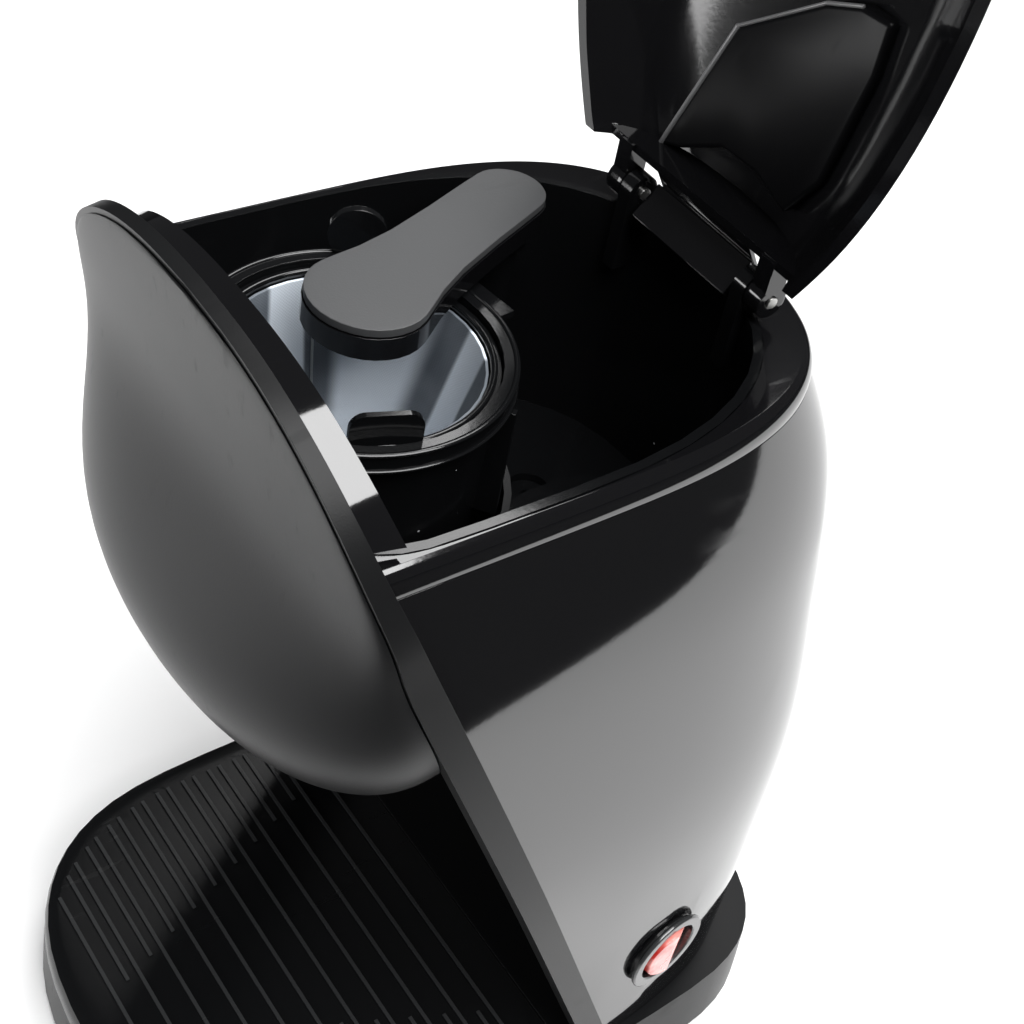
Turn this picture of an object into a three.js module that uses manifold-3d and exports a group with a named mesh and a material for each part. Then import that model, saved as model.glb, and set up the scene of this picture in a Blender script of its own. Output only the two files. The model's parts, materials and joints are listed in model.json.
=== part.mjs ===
// A small two-cup drip coffee maker, with its lid open.
// Millimetres, +Z up. The front looks along -Y and the filter holder stands on the Z axis,
// until the last lines move the whole machine so that the origin is under the middle of its box.

import * as THREE from "three";
import { mergeVertices } from "three/addons/utils/BufferGeometryUtils.js";
import Module from "manifold-3d";

const wasm = await Module();
wasm.setup();

// ---- Driving dimensions ----

const GAP = 0.3; // clearance between pieces that touch
const FOOT_RADIUS = 8;
const FOOT_HEIGHT = 3;
const FOOT_SINK = 1.2; // how far a foot sits up inside the cover
const COVER_THICKNESS = 2.2;
const BASE_TOP = 28; // deck that the column stands on
const BASE_HALF = 80; // half width of the base at its lower edge
const BASE_TOP_HALF = 78.5;
const BASE_FRONT = -67;
const BASE_REAR = 153;
const BASE_REAR_POWER = 4;
const BASE_WALL = 2.6;
const TRAY_THICKNESS = 7.7;
const TRAY_REAR = 56;
const TRAY_WALL = 2.4;
const TRAY_EDGE_ROUND = 3.5;
const RIDGE_WIDTH = 1.1;
const RIDGE_HEIGHT = 0.7;
const RIDGE_PITCH = 9.6; // from one long ridge to the next
const SHELL_WALL = 2.5;
const RING_Z = 263; // height of the filter holder's ring
const RIM_TOP = 261; // height of the tank's collar
const SHELL_TOP = 254; // height of the outer shell's upper edge
const RIM_HALF = 62; // half width of the outer shell at that edge
const BELLY_HALF = 77; // half width of the outer shell at its fullest
const SHELL_FOOT_HALF = 77;
const SHELL_MIDDLE = 18; // where the shell's sides start to round towards the rear
const SHELL_POWER_LOW = 3.7; // how square the shell is in plan at its foot
const SHELL_POWER_HIGH = 3; // and at its upper edge
const RIM_REAR = 114;
const BELLY_REAR = 148.5;
const FACE_LEAN = THREE.MathUtils.degToRad(23.5); // the front face leans forward at the top
const FACE_AT_RING = -32; // Y of the front face at RING_Z
const FRAME_DEPTH = 7.5; // how thick the frame is, and how thin at the top of its arch
const FRAME_TIP_DEPTH = 3.6;
const FRAME_WIDTH = 8;
const FRAME_PROUD = 2.5; // how far the frame stands out beyond the outer shell
const ARCH_SPRING = -30; // height up the face, from RING_Z, where the arch starts
const ARCH_RISE = 59.5;
const ARCH_POWER = 2.35; // how square the arch is
const FACE_BEND = -10; // height up the face where it starts to curl upright
const FACE_BEND_RADIUS = 139;
const DOME_WALL = 2.2;
const DOME_INSET = 1.2;
const DOME_LOW = -109; // lowest point of the dome on the face
const DOME_BULGE_MAX = 36.5;
const DOME_FOOT_POWER = 1.9; // how square the dome's lower end is
const DOME_ACROSS_POWER = 2.1; // and how square it is from side to side
const DOME_WAIST = -45; // where the dome starts to narrow
const BAY_DEPTH = 12;
const BAY_WALL = 2.2;
const TANK_HALF = 58.5;
const TANK_FRONT = -40;
const TANK_FLOOR_FRONT = -27; // the front of the tank at its floor
const TANK_REAR = 101;
const TANK_WALL = 2.2;
const TANK_FLOOR = 190;
const BASIN_RADIUS = 38.5; // low wall that the filter holder stands in
const BASIN_TOP = 226;
const HOLDER_RING_RADIUS = 36;
const HOLDER_RADIUS = 33;
const HOLDER_WALL = 1.8;
const HOLDER_BOTTOM = 198;
const HOLDER_FOOT_RADIUS = 26;
const FILTER_RADIUS = 30;
const FILTER_DEPTH = 48;
const FILTER_FOOT_RADIUS = 21;
const MESH_THICKNESS = 0.7;
const ARM_TOP = 273;
const ARM_HEIGHT = 8;
const ARM_COVER = 2;
const ARM_LENGTH = 57;
const ARM_ANGLE = THREE.MathUtils.degToRad(112.5); // direction from the head to the pivot
const ARM_HEAD_X = -5;
const ARM_HEAD_Y = 5;
const ARM_HEAD_HALF = 15;
const ARM_NECK_HALF = 9.8;
const ARM_WALL = 1.6;
const RISER_RADIUS = 5;
const RISER_BORE = 3;
const HINGE_Y = 96;
const HINGE_Z = 267.4;
const LID_OPEN = THREE.MathUtils.degToRad(90);
const LID_WALL = 2.2;
const LID_REAR = 86.4; // where the lid stops in front of its hinge
const LID_TAIL = 115; // where its outline would close without that stop
const LID_BOTTOM = 261.4;
const LID_FULLNESS = 4.2; // how far back the lid's crown runs before it falls
const LINER_DEPTH = 7.5; // how far the glossy lip runs back behind the front face
const LUG_X = 22;
const LUG_THICKNESS = 4;
const LUG_RADIUS = 4.5;
const PIN_RADIUS = 1.6;
const PIN_CLEARANCE = 0.08;
const SWITCH_Y = 85;
const SWITCH_Z = 63;
const BEZEL_RADIUS = 14;
const BEZEL_LIP = 2.2;
const SWITCH_HOLE = 12;
const ROCKER_RADIUS = 9.6;
const ROCKER_TILT = THREE.MathUtils.degToRad(9);
const SCREW_RADIUS = 1.5;
const SCREW_HEAD_RADIUS = 3;
const BOSS_RADIUS = 4.5;
const HOSE_RADIUS = 4;

// ---- Materials ----

const plastic = (name, color, roughness) =>
  new THREE.MeshStandardMaterial({ name, color, roughness, metalness: 0 });
const metal = (name, color, roughness) =>
  new THREE.MeshStandardMaterial({ name, color, roughness, metalness: 1 });

const GLOSS_BLACK = plastic("gloss_black", 0x050506, 0.08);
const SATIN_BLACK = plastic("satin_black", 0x0b0b0c, 0.42);
const TANK_BLACK = plastic("tank_black", 0x08090a, 0.2);
const COVER_GREY = plastic("cover_satin", 0x18191b, 0.35);
const MESH_GREY = metal("filter_mesh", 0x8f9dab, 0.3);
const RUBBER = plastic("foot_rubber", 0x141414, 0.9);
const ROCKER_RED = plastic("rocker_red", 0xc81408, 0.15);
const STEEL = metal("screw_steel", 0x9a9a98, 0.35);
const ALUMINIUM = metal("heater_aluminium", 0xb4b6b8, 0.45);
const SILICONE = plastic("hose_silicone", 0xcfd0cc, 0.5);

// ---- Solids: joining and cutting ----

function toSolid(geometry) {
  const bare = geometry.clone();
  bare.deleteAttribute("normal");
  bare.deleteAttribute("uv");
  const merged = mergeVertices(bare, 1e-4);
  const vertProperties = Float32Array.from(merged.attributes.position.array);
  const triVerts = Uint32Array.from(merged.index.array);
  return new wasm.Manifold(new wasm.Mesh({ numProp: 3, vertProperties, triVerts }));
}

function toGeometry(solid) {
  const mesh = solid.getMesh();
  const geometry = new THREE.BufferGeometry();
  geometry.setAttribute("position", new THREE.BufferAttribute(mesh.vertProperties, 3));
  geometry.setIndex(new THREE.BufferAttribute(mesh.triVerts, 1));
  return geometry;
}

const join = (...solids) => solids.reduce((all, next) => all.add(next));
const cut = (solid, ...tools) => tools.reduce((left, tool) => left.subtract(tool), solid);

// Primitive solids, each made from a three.js geometry.
function boxSolid(x0, x1, y0, y1, z0, z1) {
  const box = new THREE.BoxGeometry(x1 - x0, y1 - y0, z1 - z0);
  box.translate((x0 + x1) / 2, (y0 + y1) / 2, (z0 + z1) / 2);
  return toSolid(box);
}

function discGeometry(radius, z0, z1, x = 0, y = 0, sides = 24, topRadius = radius) {
  const disc = new THREE.CylinderGeometry(topRadius, radius, z1 - z0, sides);
  disc.rotateX(Math.PI / 2);
  disc.translate(x, y, (z0 + z1) / 2);
  return disc;
}

const discSolid = (...sizes) => toSolid(discGeometry(...sizes));

// A disc whose axis runs along X.
function axleSolid(radius, x0, x1, y, z, sides = 20) {
  const axle = new THREE.CylinderGeometry(radius, radius, x1 - x0, sides);
  axle.rotateZ(Math.PI / 2);
  axle.translate((x0 + x1) / 2, y, z);
  return toSolid(axle);
}

// An outline of [x, y] points, extruded from z0 to z1.
function slabSolid(outline, z0, z1) {
  const shape = new THREE.Shape(outline.map(([x, y]) => new THREE.Vector2(x, y)));
  const slab = new THREE.ExtrudeGeometry(shape, { depth: z1 - z0, bevelEnabled: false });
  slab.translate(0, 0, z0);
  return toSolid(slab);
}

// A profile of [y, z] points, extruded along X.
function profileSolid(profile, x0, x1) {
  const shape = new THREE.Shape(profile.map(([y, z]) => new THREE.Vector2(y, z)));
  const slab = new THREE.ExtrudeGeometry(shape, { depth: x1 - x0, bevelEnabled: false });
  slab.applyMatrix4(new THREE.Matrix4().set(0, 0, 1, x0, 1, 0, 0, 0, 0, 1, 0, 0, 0, 0, 0, 1));
  return toSolid(slab);
}

// A turned solid: [radius, z] points that start and end on the axis.
function turnedSolid(profile, x = 0, y = 0, sides = 40) {
  const turned = new THREE.LatheGeometry(
    profile.map(([radius, z]) => new THREE.Vector2(radius, z)),
    sides,
  );
  turned.rotateX(Math.PI / 2);
  turned.translate(x, y, 0);
  return toSolid(turned);
}

// A closed skin over rings of points, all with the same count, with a flat fan at each end.
function loftGeometry(rings) {
  const count = rings[0].length;
  const positions = rings.flat(2);
  const index = [];
  const fan = (ring, start, flip) => {
    const middle = positions.length / 3;
    const sum = ring.reduce((total, point) => total.map((value, axis) => value + point[axis]));
    positions.push(...sum.map((value) => value / count));
    for (let i = 0; i < count; i++) {
      const next = (i + 1) % count;
      index.push(...(flip ? [middle, start + next, start + i] : [middle, start + i, start + next]));
    }
  };
  for (let level = 0; level + 1 < rings.length; level++) {
    for (let i = 0; i < count; i++) {
      const next = (i + 1) % count;
      const low = level * count;
      const high = low + count;
      index.push(low + i, low + next, high + next, low + i, high + next, high + i);
    }
  }
  fan(rings[0], 0, true);
  fan(rings[rings.length - 1], (rings.length - 1) * count, false);
  const geometry = new THREE.BufferGeometry();
  geometry.setAttribute("position", new THREE.Float32BufferAttribute(positions, 3));
  geometry.setIndex(index);
  return geometry;
}

const loftSolid = (rings) => toSolid(loftGeometry(rings));

// A round tube along a smooth curve through the points.
function tubeSolid(points, radius, steps, sides = 5) {
  const shape = new THREE.Shape();
  shape.absarc(0, 0, radius, 0, 2 * Math.PI, false);
  const tube = new THREE.ExtrudeGeometry(shape, {
    steps,
    curveSegments: sides,
    bevelEnabled: false,
    extrudePath: new THREE.CatmullRomCurve3(points.map((point) => new THREE.Vector3(...point))),
  });
  return toSolid(tube);
}

function mesh(name, solid, material) {
  const piece = new THREE.Mesh(solid.isBufferGeometry ? solid : toGeometry(solid), material);
  piece.name = name;
  return piece;
}

// ---- Outlines seen from above ----

const power = (value, exponent) => Math.sign(value) * Math.abs(value) ** exponent;

// Straight-sided outline whose two ends are superellipse arcs, anticlockwise.
function planOutline({ half, front, rear, frontMiddle, rearMiddle, frontPower = 2.6, rearPower = 2.5, steps = 14 }) {
  const points = [];
  const arc = (end, middle, exponent, start) => {
    for (let i = 0; i <= steps; i++) {
      const angle = start + (Math.PI * i) / steps;
      const x = half * power(Math.cos(angle), 2 / exponent);
      const y = middle + Math.abs(end - middle) * power(Math.sin(angle), 2 / exponent);
      points.push([x, y]);
    }
  };
  arc(rear, rearMiddle, rearPower, 0);
  arc(front, frontMiddle, frontPower, Math.PI);
  return points;
}

const atHeight = (outline, z) => outline.map(([x, y]) => [x, y, z]);

// The base's outline: pass how far inside the lower edge it lies.
const baseOutline = (inset) =>
  planOutline({
    half: BASE_HALF - inset,
    front: BASE_FRONT + inset,
    rear: BASE_REAR - inset,
    frontMiddle: 10,
    rearMiddle: 70,
    rearPower: BASE_REAR_POWER,
  });

// Half width and rear of the outer shell at each height, through a few stations.
const SHELL_STATIONS = new THREE.CatmullRomCurve3(
  [
    [BASE_TOP, SHELL_FOOT_HALF, BELLY_REAR - 3],
    [80, BELLY_HALF - 0.6, BELLY_REAR],
    [130, BELLY_HALF, BELLY_REAR - 2],
    [185, BELLY_HALF - 3.5, BELLY_REAR - 12],
    [225, (BELLY_HALF + RIM_HALF) / 2, (BELLY_REAR + RIM_REAR) / 2 - 2],
    [SHELL_TOP, RIM_HALF, RIM_REAR],
    [RING_Z + 8, RIM_HALF - 5, RIM_REAR - 8],
  ].map((station) => new THREE.Vector3(...station)),
  false,
  "centripetal",
);
const SHELL_SAMPLES = SHELL_STATIONS.getPoints(160);

function shellSize(z) {
  const above = SHELL_SAMPLES.findIndex((sample) => sample.x >= z);
  const high = SHELL_SAMPLES[Math.max(above, 1)];
  const low = SHELL_SAMPLES[Math.max(above, 1) - 1];
  const share = (z - low.x) / (high.x - low.x);
  const rise = (z - BASE_TOP) / (SHELL_TOP - BASE_TOP);
  return {
    half: low.y + share * (high.y - low.y),
    rear: low.z + share * (high.z - low.z),
    square: SHELL_POWER_LOW + (SHELL_POWER_HIGH - SHELL_POWER_LOW) * rise,
  };
}

// Half width of the outer shell at a height and a distance back.
function shellHalfAt(z, y) {
  const { half, rear, square } = shellSize(z);
  const back = Math.max(0, (y - SHELL_MIDDLE) / (rear - SHELL_MIDDLE));
  return half * (1 - Math.min(1, back) ** square) ** (1 / square);
}

// The outer shell's outline at a height, running forward past the front face.
function shellOutline(z, inset) {
  const { half, rear, square } = shellSize(z);
  return planOutline({
    half: half - inset,
    front: -110,
    rear: rear - inset,
    frontMiddle: -60,
    rearMiddle: SHELL_MIDDLE,
    frontPower: 8,
    rearPower: square,
    steps: 22,
  });
}

function shellLoft(z0, z1, inset, levels = 12) {
  const rings = [];
  for (let level = 0; level <= levels; level++) {
    const z = z0 + ((z1 - z0) * level) / levels;
    rings.push(atHeight(shellOutline(z, inset), z));
  }
  return loftSolid(rings);
}

// ---- The leaning front face ----
// Its own frame: x to the right, t up the face from RING_Z, h out of the face.

// The face is flat up to FACE_BEND and then curls upright, as an arc of radius FACE_BEND_RADIUS.
const UP = [-Math.sin(FACE_LEAN), Math.cos(FACE_LEAN)];

function onFace(x, t, h) {
  const bent = Math.max(0, t - FACE_BEND);
  const lean = FACE_LEAN - bent / FACE_BEND_RADIUS;
  const flat = Math.min(t, FACE_BEND);
  const y = FACE_AT_RING + UP[0] * flat - FACE_BEND_RADIUS * (Math.cos(lean) - Math.cos(FACE_LEAN));
  const z = RING_Z + UP[1] * flat + FACE_BEND_RADIUS * (Math.sin(FACE_LEAN) - Math.sin(lean));
  return [x, y - Math.cos(lean) * h, z - Math.sin(lean) * h];
}

// The frame grows thinner from where its arch starts to its tip.
function frameDepth(t) {
  const rise = Math.min(1, Math.max(0, (t - ARCH_SPRING) / ARCH_RISE));
  return FRAME_DEPTH + (FRAME_TIP_DEPTH - FRAME_DEPTH) * Math.sqrt(rise);
}

const FACE_BOTTOM = (BASE_TOP - RING_Z) / UP[1] - 12; // runs below the deck, to be cut level
function faceHalf(t) {
  const [, y, z] = onFace(0, t, 0);
  return shellHalfAt(z, y) + FRAME_PROUD;
}

// The right side of the frame's arched outline on the face, from the bottom up, inset all round.
function archSide(inset) {
  const points = [];
  const sideSteps = 8;
  for (let i = 0; i < sideSteps; i++) {
    const t = FACE_BOTTOM + ((ARCH_SPRING - FACE_BOTTOM) * i) / sideSteps;
    points.push([faceHalf(t) - inset, t]);
  }
  const arcSteps = 14;
  for (let i = 0; i <= arcSteps; i++) {
    const angle = (Math.PI * i) / arcSteps / 2;
    const x = (faceHalf(ARCH_SPRING) - inset) * power(Math.cos(angle), 2 / ARCH_POWER);
    points.push([x, ARCH_SPRING + (ARCH_RISE - inset) * power(Math.sin(angle), 2 / ARCH_POWER)]);
  }
  return points;
}

// A symmetrical plate on the face between h0 and frontAt(t), from the right side of its outline.
function faceSolid(side, h0, h1, frontAt = () => h1) {
  const rings = side.map(([x, t]) => {
    const half = Math.max(x, 0.2);
    const front = frontAt(t);
    return [onFace(-half, t, front), onFace(half, t, front), onFace(half, t, h0), onFace(-half, t, h0)];
  });
  return loftSolid(rings);
}

// Everything in front of the face, from h outwards.
function beforeFace(h) {
  const steps = 10;
  const curl = Array.from({ length: steps + 1 }, (_, i) => onFace(0, FACE_BEND + i * 7, h).slice(1));
  const profile = [onFace(0, -320, h).slice(1), ...curl];
  profile.push([profile.at(-1)[0], 600], [-300, 600], [-300, -200]);
  return profileSolid(profile, -200, 200);
}

// The dome: half width and bulge at each height up the face.
const DOME_TOP = ARCH_SPRING + ARCH_RISE - DOME_INSET;
const DOME_BULGE = new THREE.CatmullRomCurve3(
  [
    [DOME_LOW, 0],
    [DOME_LOW + 3, 7],
    [DOME_LOW + 14, 20],
    [DOME_LOW + 30, 31.5],
    [-68, DOME_BULGE_MAX],
    [-50, DOME_BULGE_MAX - 3],
    [-32, 19],
    [-14, 7],
    [4, 2],
    [DOME_TOP, 0],
  ].map(([t, bulge]) => new THREE.Vector3(t, bulge, 0)),
  false,
  "centripetal",
);

function domeHalf(t, inset) {
  if (t > ARCH_SPRING) {
    const rise = Math.min(1, (t - ARCH_SPRING) / (ARCH_RISE - DOME_INSET - inset));
    return (faceHalf(ARCH_SPRING) - DOME_INSET - inset) * (1 - rise ** ARCH_POWER) ** (1 / ARCH_POWER);
  }
  const widest = faceHalf(t) - DOME_INSET - inset;
  if (t > DOME_WAIST) return widest;
  const fall = Math.min(1, (DOME_WAIST - t) / (DOME_WAIST - DOME_LOW - inset));
  return widest * (1 - fall ** DOME_FOOT_POWER) ** (1 / DOME_FOOT_POWER);
}

const DOME_HOLLOW_BACK = -2; // the dome's hollow runs back through the frame to just behind the face
const domeHollowBack = () => DOME_HOLLOW_BACK;
const DOME_SAMPLES = DOME_BULGE.getPoints(120);

// The dome's skin, inset by its wall for the hollow, from its back at h = backAt(t).
function domeSolid(inset, backAt) {
  const sideSteps = 22;
  const levels = 20;
  const rings = [];
  for (let level = 0; level <= levels; level++) {
    const share = (1 - Math.cos((Math.PI * level) / levels)) / 2;
    const t = DOME_LOW + inset + (DOME_TOP - DOME_LOW - 2 * inset) * share;
    const found = DOME_SAMPLES.findIndex((sample) => sample.x >= t);
    const above = found < 0 ? DOME_SAMPLES.length - 1 : Math.max(1, found);
    const [low, high] = [DOME_SAMPLES[above - 1], DOME_SAMPLES[above]];
    const bulge = low.y + ((high.y - low.y) * (t - low.x)) / (high.x - low.x);
    const half = Math.max(domeHalf(t, inset), 0.4);
    const back = backAt(t);
    const height = Math.max(frameDepth(t) + GAP + bulge - inset - back, 0.5);
    const ring = [];
    for (let i = 0; i <= sideSteps; i++) {
      const angle = (Math.PI * i) / sideSteps;
      const x = half * power(Math.cos(angle), 2 / DOME_ACROSS_POWER);
      ring.push(onFace(x, t, back + height * power(Math.sin(angle), 2 / DOME_ACROSS_POWER)));
    }
    rings.push(ring.reverse());
  }
  return loftSolid(rings);
}

// ---- Base ----

function baseHousing() {
  const outer = loftSolid([
    atHeight(baseOutline(0), FOOT_HEIGHT),
    atHeight(baseOutline(0.4), 12),
    atHeight(baseOutline(BASE_HALF - BASE_TOP_HALF), BASE_TOP),
  ]);
  const inner = loftSolid([
    atHeight(baseOutline(BASE_WALL), FOOT_HEIGHT - 1),
    atHeight(baseOutline(BASE_WALL + 0.8), BASE_TOP - BASE_WALL),
  ]);
  const pocketFloor = BASE_TOP - TRAY_THICKNESS - GAP;
  const innerPocket = boxSolid(-BASE_HALF, BASE_HALF, -80, TRAY_REAR + GAP + BASE_WALL, pocketFloor - BASE_WALL, 60);
  const pocket = boxSolid(-100, 100, -80, TRAY_REAR + GAP, pocketFloor, 60);
  const cableHole = slabSolid(planOutline({ half: 34, front: 84, rear: 128, frontMiddle: 100, rearMiddle: 110 }), 10, 60);
  const glandHole = boxSolid(-GLAND_HALF - GAP, GLAND_HALF + GAP, 120, 170, 8, 8 + 2 * GLAND_HALF + 2 * GAP);
  const bosses = SCREW_PLACES.map(([x, y]) => discSolid(BOSS_RADIUS, COVER_TOP + GAP, bossTop(y), x, y, 16));
  const bores = SCREW_PLACES.map(([x, y]) => discSolid(SCREW_RADIUS + GAP, 0, SCREW_END + GAP, x, y, 12));
  const shell = cut(outer, cut(inner, innerPocket), pocket);
  return cut(join(shell, ...bosses), cableHole, glandHole, ...bores);
}

const COVER_BOTTOM = FOOT_HEIGHT;
const COVER_TOP = COVER_BOTTOM + COVER_THICKNESS;
const SCREW_END = 15;
const GLAND_HALF = 5.5;
const SCREW_PLACES = [
  [-52, -30],
  [52, -30],
  [-50, 112],
  [50, 112],
];
const FOOT_PLACES = [
  [-56, -4],
  [56, -4],
  [-56, 92],
  [56, 92],
];
const bossTop = (y) => (y < TRAY_REAR ? BASE_TOP - TRAY_THICKNESS - GAP - BASE_WALL / 2 : BASE_TOP - BASE_WALL / 2);

function baseCover() {
  const plate = slabSolid(baseOutline(BASE_WALL + GAP), COVER_BOTTOM, COVER_TOP);
  const seats = FOOT_PLACES.map(([x, y]) =>
    discSolid(FOOT_RADIUS + GAP, COVER_BOTTOM - 1, COVER_BOTTOM + FOOT_SINK + GAP, x, y),
  );
  const holes = SCREW_PLACES.map(([x, y]) =>
    join(
      discSolid(SCREW_RADIUS + GAP, COVER_BOTTOM - 1, COVER_TOP + 1, x, y, 12),
      discSolid(SCREW_HEAD_RADIUS + GAP, COVER_BOTTOM - 1, COVER_BOTTOM + 1.2, x, y, 16),
    ),
  );
  return cut(plate, ...seats, ...holes);
}

const foot = ([x, y]) => discGeometry(FOOT_RADIUS - 0.8, 0, COVER_BOTTOM + FOOT_SINK, x, y, 24, FOOT_RADIUS);

function baseScrew([x, y]) {
  const head = discSolid(SCREW_HEAD_RADIUS, COVER_BOTTOM + 0.1, COVER_BOTTOM + 0.9, x, y, 16);
  const shank = discSolid(SCREW_RADIUS, COVER_BOTTOM + 0.5, SCREW_END, x, y, 12);
  const slot = boxSolid(x - 2, x + 2, y - 0.4, y + 0.4, COVER_BOTTOM - 1, COVER_BOTTOM + 0.5);
  return cut(join(head, shank), slot);
}

// The cup plate: a rounded plate, hollow underneath, with long and short ridges.
function cupTray() {
  const bottom = BASE_TOP - TRAY_THICKNESS;
  const edge = BASE_HALF - BASE_TOP_HALF - 0.6;
  const plate = loftSolid([
    atHeight(baseOutline(edge), bottom),
    atHeight(baseOutline(edge), BASE_TOP - TRAY_EDGE_ROUND),
    atHeight(baseOutline(edge + TRAY_EDGE_ROUND * 0.3), BASE_TOP - TRAY_EDGE_ROUND * 0.3),
    atHeight(baseOutline(edge + TRAY_EDGE_ROUND), BASE_TOP),
  ]);
  const hollow = slabSolid(baseOutline(edge + TRAY_WALL + 1), bottom - 1, BASE_TOP - TRAY_WALL);
  const behind = boxSolid(-100, 100, TRAY_REAR, 300, 0, 100);
  const hollowRear = boxSolid(-100, 100, TRAY_REAR - TRAY_WALL, 300, 0, 100);
  const ridges = [];
  const edgeHalf = (y) => {
    const fall = Math.max(0, (10 - y) / (10 - BASE_FRONT - edge));
    return (BASE_HALF - edge) * (1 - fall ** 2.6) ** (1 / 2.6);
  };
  for (let y = 44; y > BASE_FRONT + 12; y -= RIDGE_PITCH) {
    const reach = edgeHalf(y) - 9;
    ridges.push(ridge(-reach, reach, y));
    const yShort = y - RIDGE_PITCH * 0.42;
    if (yShort > BASE_FRONT + 14) {
      const shortReach = edgeHalf(yShort) - 9;
      const inner = 32 + yShort * 0.45;
      if (shortReach - inner > 6) ridges.push(ridge(inner, shortReach, yShort), ridge(-shortReach, -inner, yShort));
    }
  }
  return join(cut(cut(plate, cut(hollow, hollowRear)), behind), ...ridges);
}

const ridge = (x0, x1, y) =>
  boxSolid(x0, x1, y - RIDGE_WIDTH / 2, y + RIDGE_WIDTH / 2, BASE_TOP - 0.5, BASE_TOP + RIDGE_HEIGHT);

// ---- Outer casing ----

// The switch stands square to the right wall, which is turned a little towards the rear there.
const switchWall = shellHalfAt(SWITCH_Z, SWITCH_Y);
const switchTurn = Math.atan((shellHalfAt(SWITCH_Z, SWITCH_Y - 5) - shellHalfAt(SWITCH_Z, SWITCH_Y + 5)) / 10);

// From the switch's own frame, with X out of the wall, to the machine's.
const placeSwitch = (solid) =>
  solid.rotate([0, 0, THREE.MathUtils.radToDeg(switchTurn)]).translate([switchWall, SWITCH_Y, SWITCH_Z]);

function bodyShell() {
  const bottom = BASE_TOP + GAP;
  const outer = shellLoft(bottom, SHELL_TOP, 0);
  const inner = shellLoft(bottom - 0.01, SHELL_TOP + 0.01, SHELL_WALL);
  const hole = placeSwitch(axleSolid(SWITCH_HOLE + GAP, -20, 20, 0, 0, 28));
  return cut(outer, inner, beforeFace(-GAP), hole);
}

function frontFrame() {
  const whole = faceSolid(archSide(0), 0, FRAME_DEPTH, frameDepth);
  const ring = cut(whole, faceSolid(archSide(FRAME_WIDTH), -1, FRAME_DEPTH + 1));
  return cut(ring, boxSolid(-200, 200, -200, 200, -60, BASE_TOP + GAP));
}

function frontDome() {
  const skin = cut(domeSolid(0, (t) => frameDepth(t) + GAP), domeSolid(DOME_WALL, domeHollowBack));
  const nozzles = [-NOZZLE_X, NOZZLE_X].map((x) => discSolid(NOZZLE_RADIUS + 1, 120, 200, x, SPOUT_Y, 20));
  return cut(skin, ...nozzles);
}

// The glossy lip behind the frame's arch, which the closed lid meets.
function shieldLiner() {
  const outside = archSide(FRAME_PROUD + LID_WALL + 0.8);
  const inside = archSide(FRAME_PROUD + LID_WALL + 3);
  const ring = cut(faceSolid(outside, -LINER_DEPTH, -GAP), faceSolid(inside, -LINER_DEPTH - 1, 1));
  return cut(ring, boxSolid(-200, 200, -200, 200, -60, RIM_TOP + 2.5));
}

// The recess behind the cups: back, sides and roof, open to the front.
function bayPanel() {
  const side = FRAME_PROUD + SHELL_WALL + 0.6;
  const roof = faceSolid(domeSide(-0.6), -BAY_DEPTH - 5, 20);
  const roofInner = faceSolid(domeSide(-0.6 - BAY_WALL), -BAY_DEPTH - 5, 20);
  const within = (inset) => shellLoft(0, 200, SHELL_WALL + 0.6 + inset);
  const outer = cut(faceSolid(archSide(side), -BAY_DEPTH, -GAP).intersect(within(0)), roof);
  const hollow = faceSolid(archSide(side + BAY_WALL), -BAY_DEPTH + BAY_WALL, 20);
  const inner = cut(hollow.intersect(within(BAY_WALL)), roofInner);
  const level = boxSolid(-200, 200, -200, 200, -60, BASE_TOP + GAP);
  const upper = boxSolid(-200, 200, -200, 200, TANK_FLOOR - TANK_WALL - 1, 400);
  return cut(outer, inner, level, upper);
}

// The right side of the dome's own outline on the face, running on above it to clear the arch.
function domeSide(inset) {
  const points = [];
  const steps = 18;
  for (let i = 0; i <= steps; i++) {
    const share = 1 - Math.cos((Math.PI * i) / steps / 2);
    const t = DOME_LOW + inset + (DOME_WAIST - DOME_LOW - inset) * share;
    points.push([domeHalf(t, inset), t]);
  }
  const wide = faceHalf(DOME_WAIST) + 20;
  return [...points, [wide, DOME_WAIST + 1], [wide, FACE_BEND], [wide, FACE_BEND + 50]];
}

// ---- Tank, holder and filter ----

const tankOutline = (inset, front = TANK_FRONT) =>
  planOutline({
    half: TANK_HALF - inset,
    front: front + inset,
    rear: TANK_REAR - inset,
    frontMiddle: -4,
    rearMiddle: 18,
    frontPower: 4,
    steps: 20,
  });

const RISER_X = ARM_HEAD_X + ARM_LENGTH * Math.cos(ARM_ANGLE);
const RISER_Y = ARM_HEAD_Y + ARM_LENGTH * Math.sin(ARM_ANGLE);
const ARM_BOTTOM = ARM_TOP - ARM_HEIGHT;

// The tank's walls, whose front follows the dome back towards the floor.
function tankLoft(inset, bottom, top) {
  const rings = [
    [bottom, TANK_FLOOR_FRONT],
    [TANK_FLOOR + 15, (TANK_FLOOR_FRONT + 2 * TANK_FRONT) / 3],
    [TANK_FLOOR + 32, TANK_FRONT],
    [top, TANK_FRONT],
  ];
  const walls = loftSolid(rings.map(([z, front]) => atHeight(tankOutline(inset, front), z)));
  const domeRoom = domeSolid(DOME_WALL + 0.6 + inset, domeHollowBack);
  return join(cut(walls, beforeFace(DOME_HOLLOW_BACK + 0.5)), walls.intersect(domeRoom));
}

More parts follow.
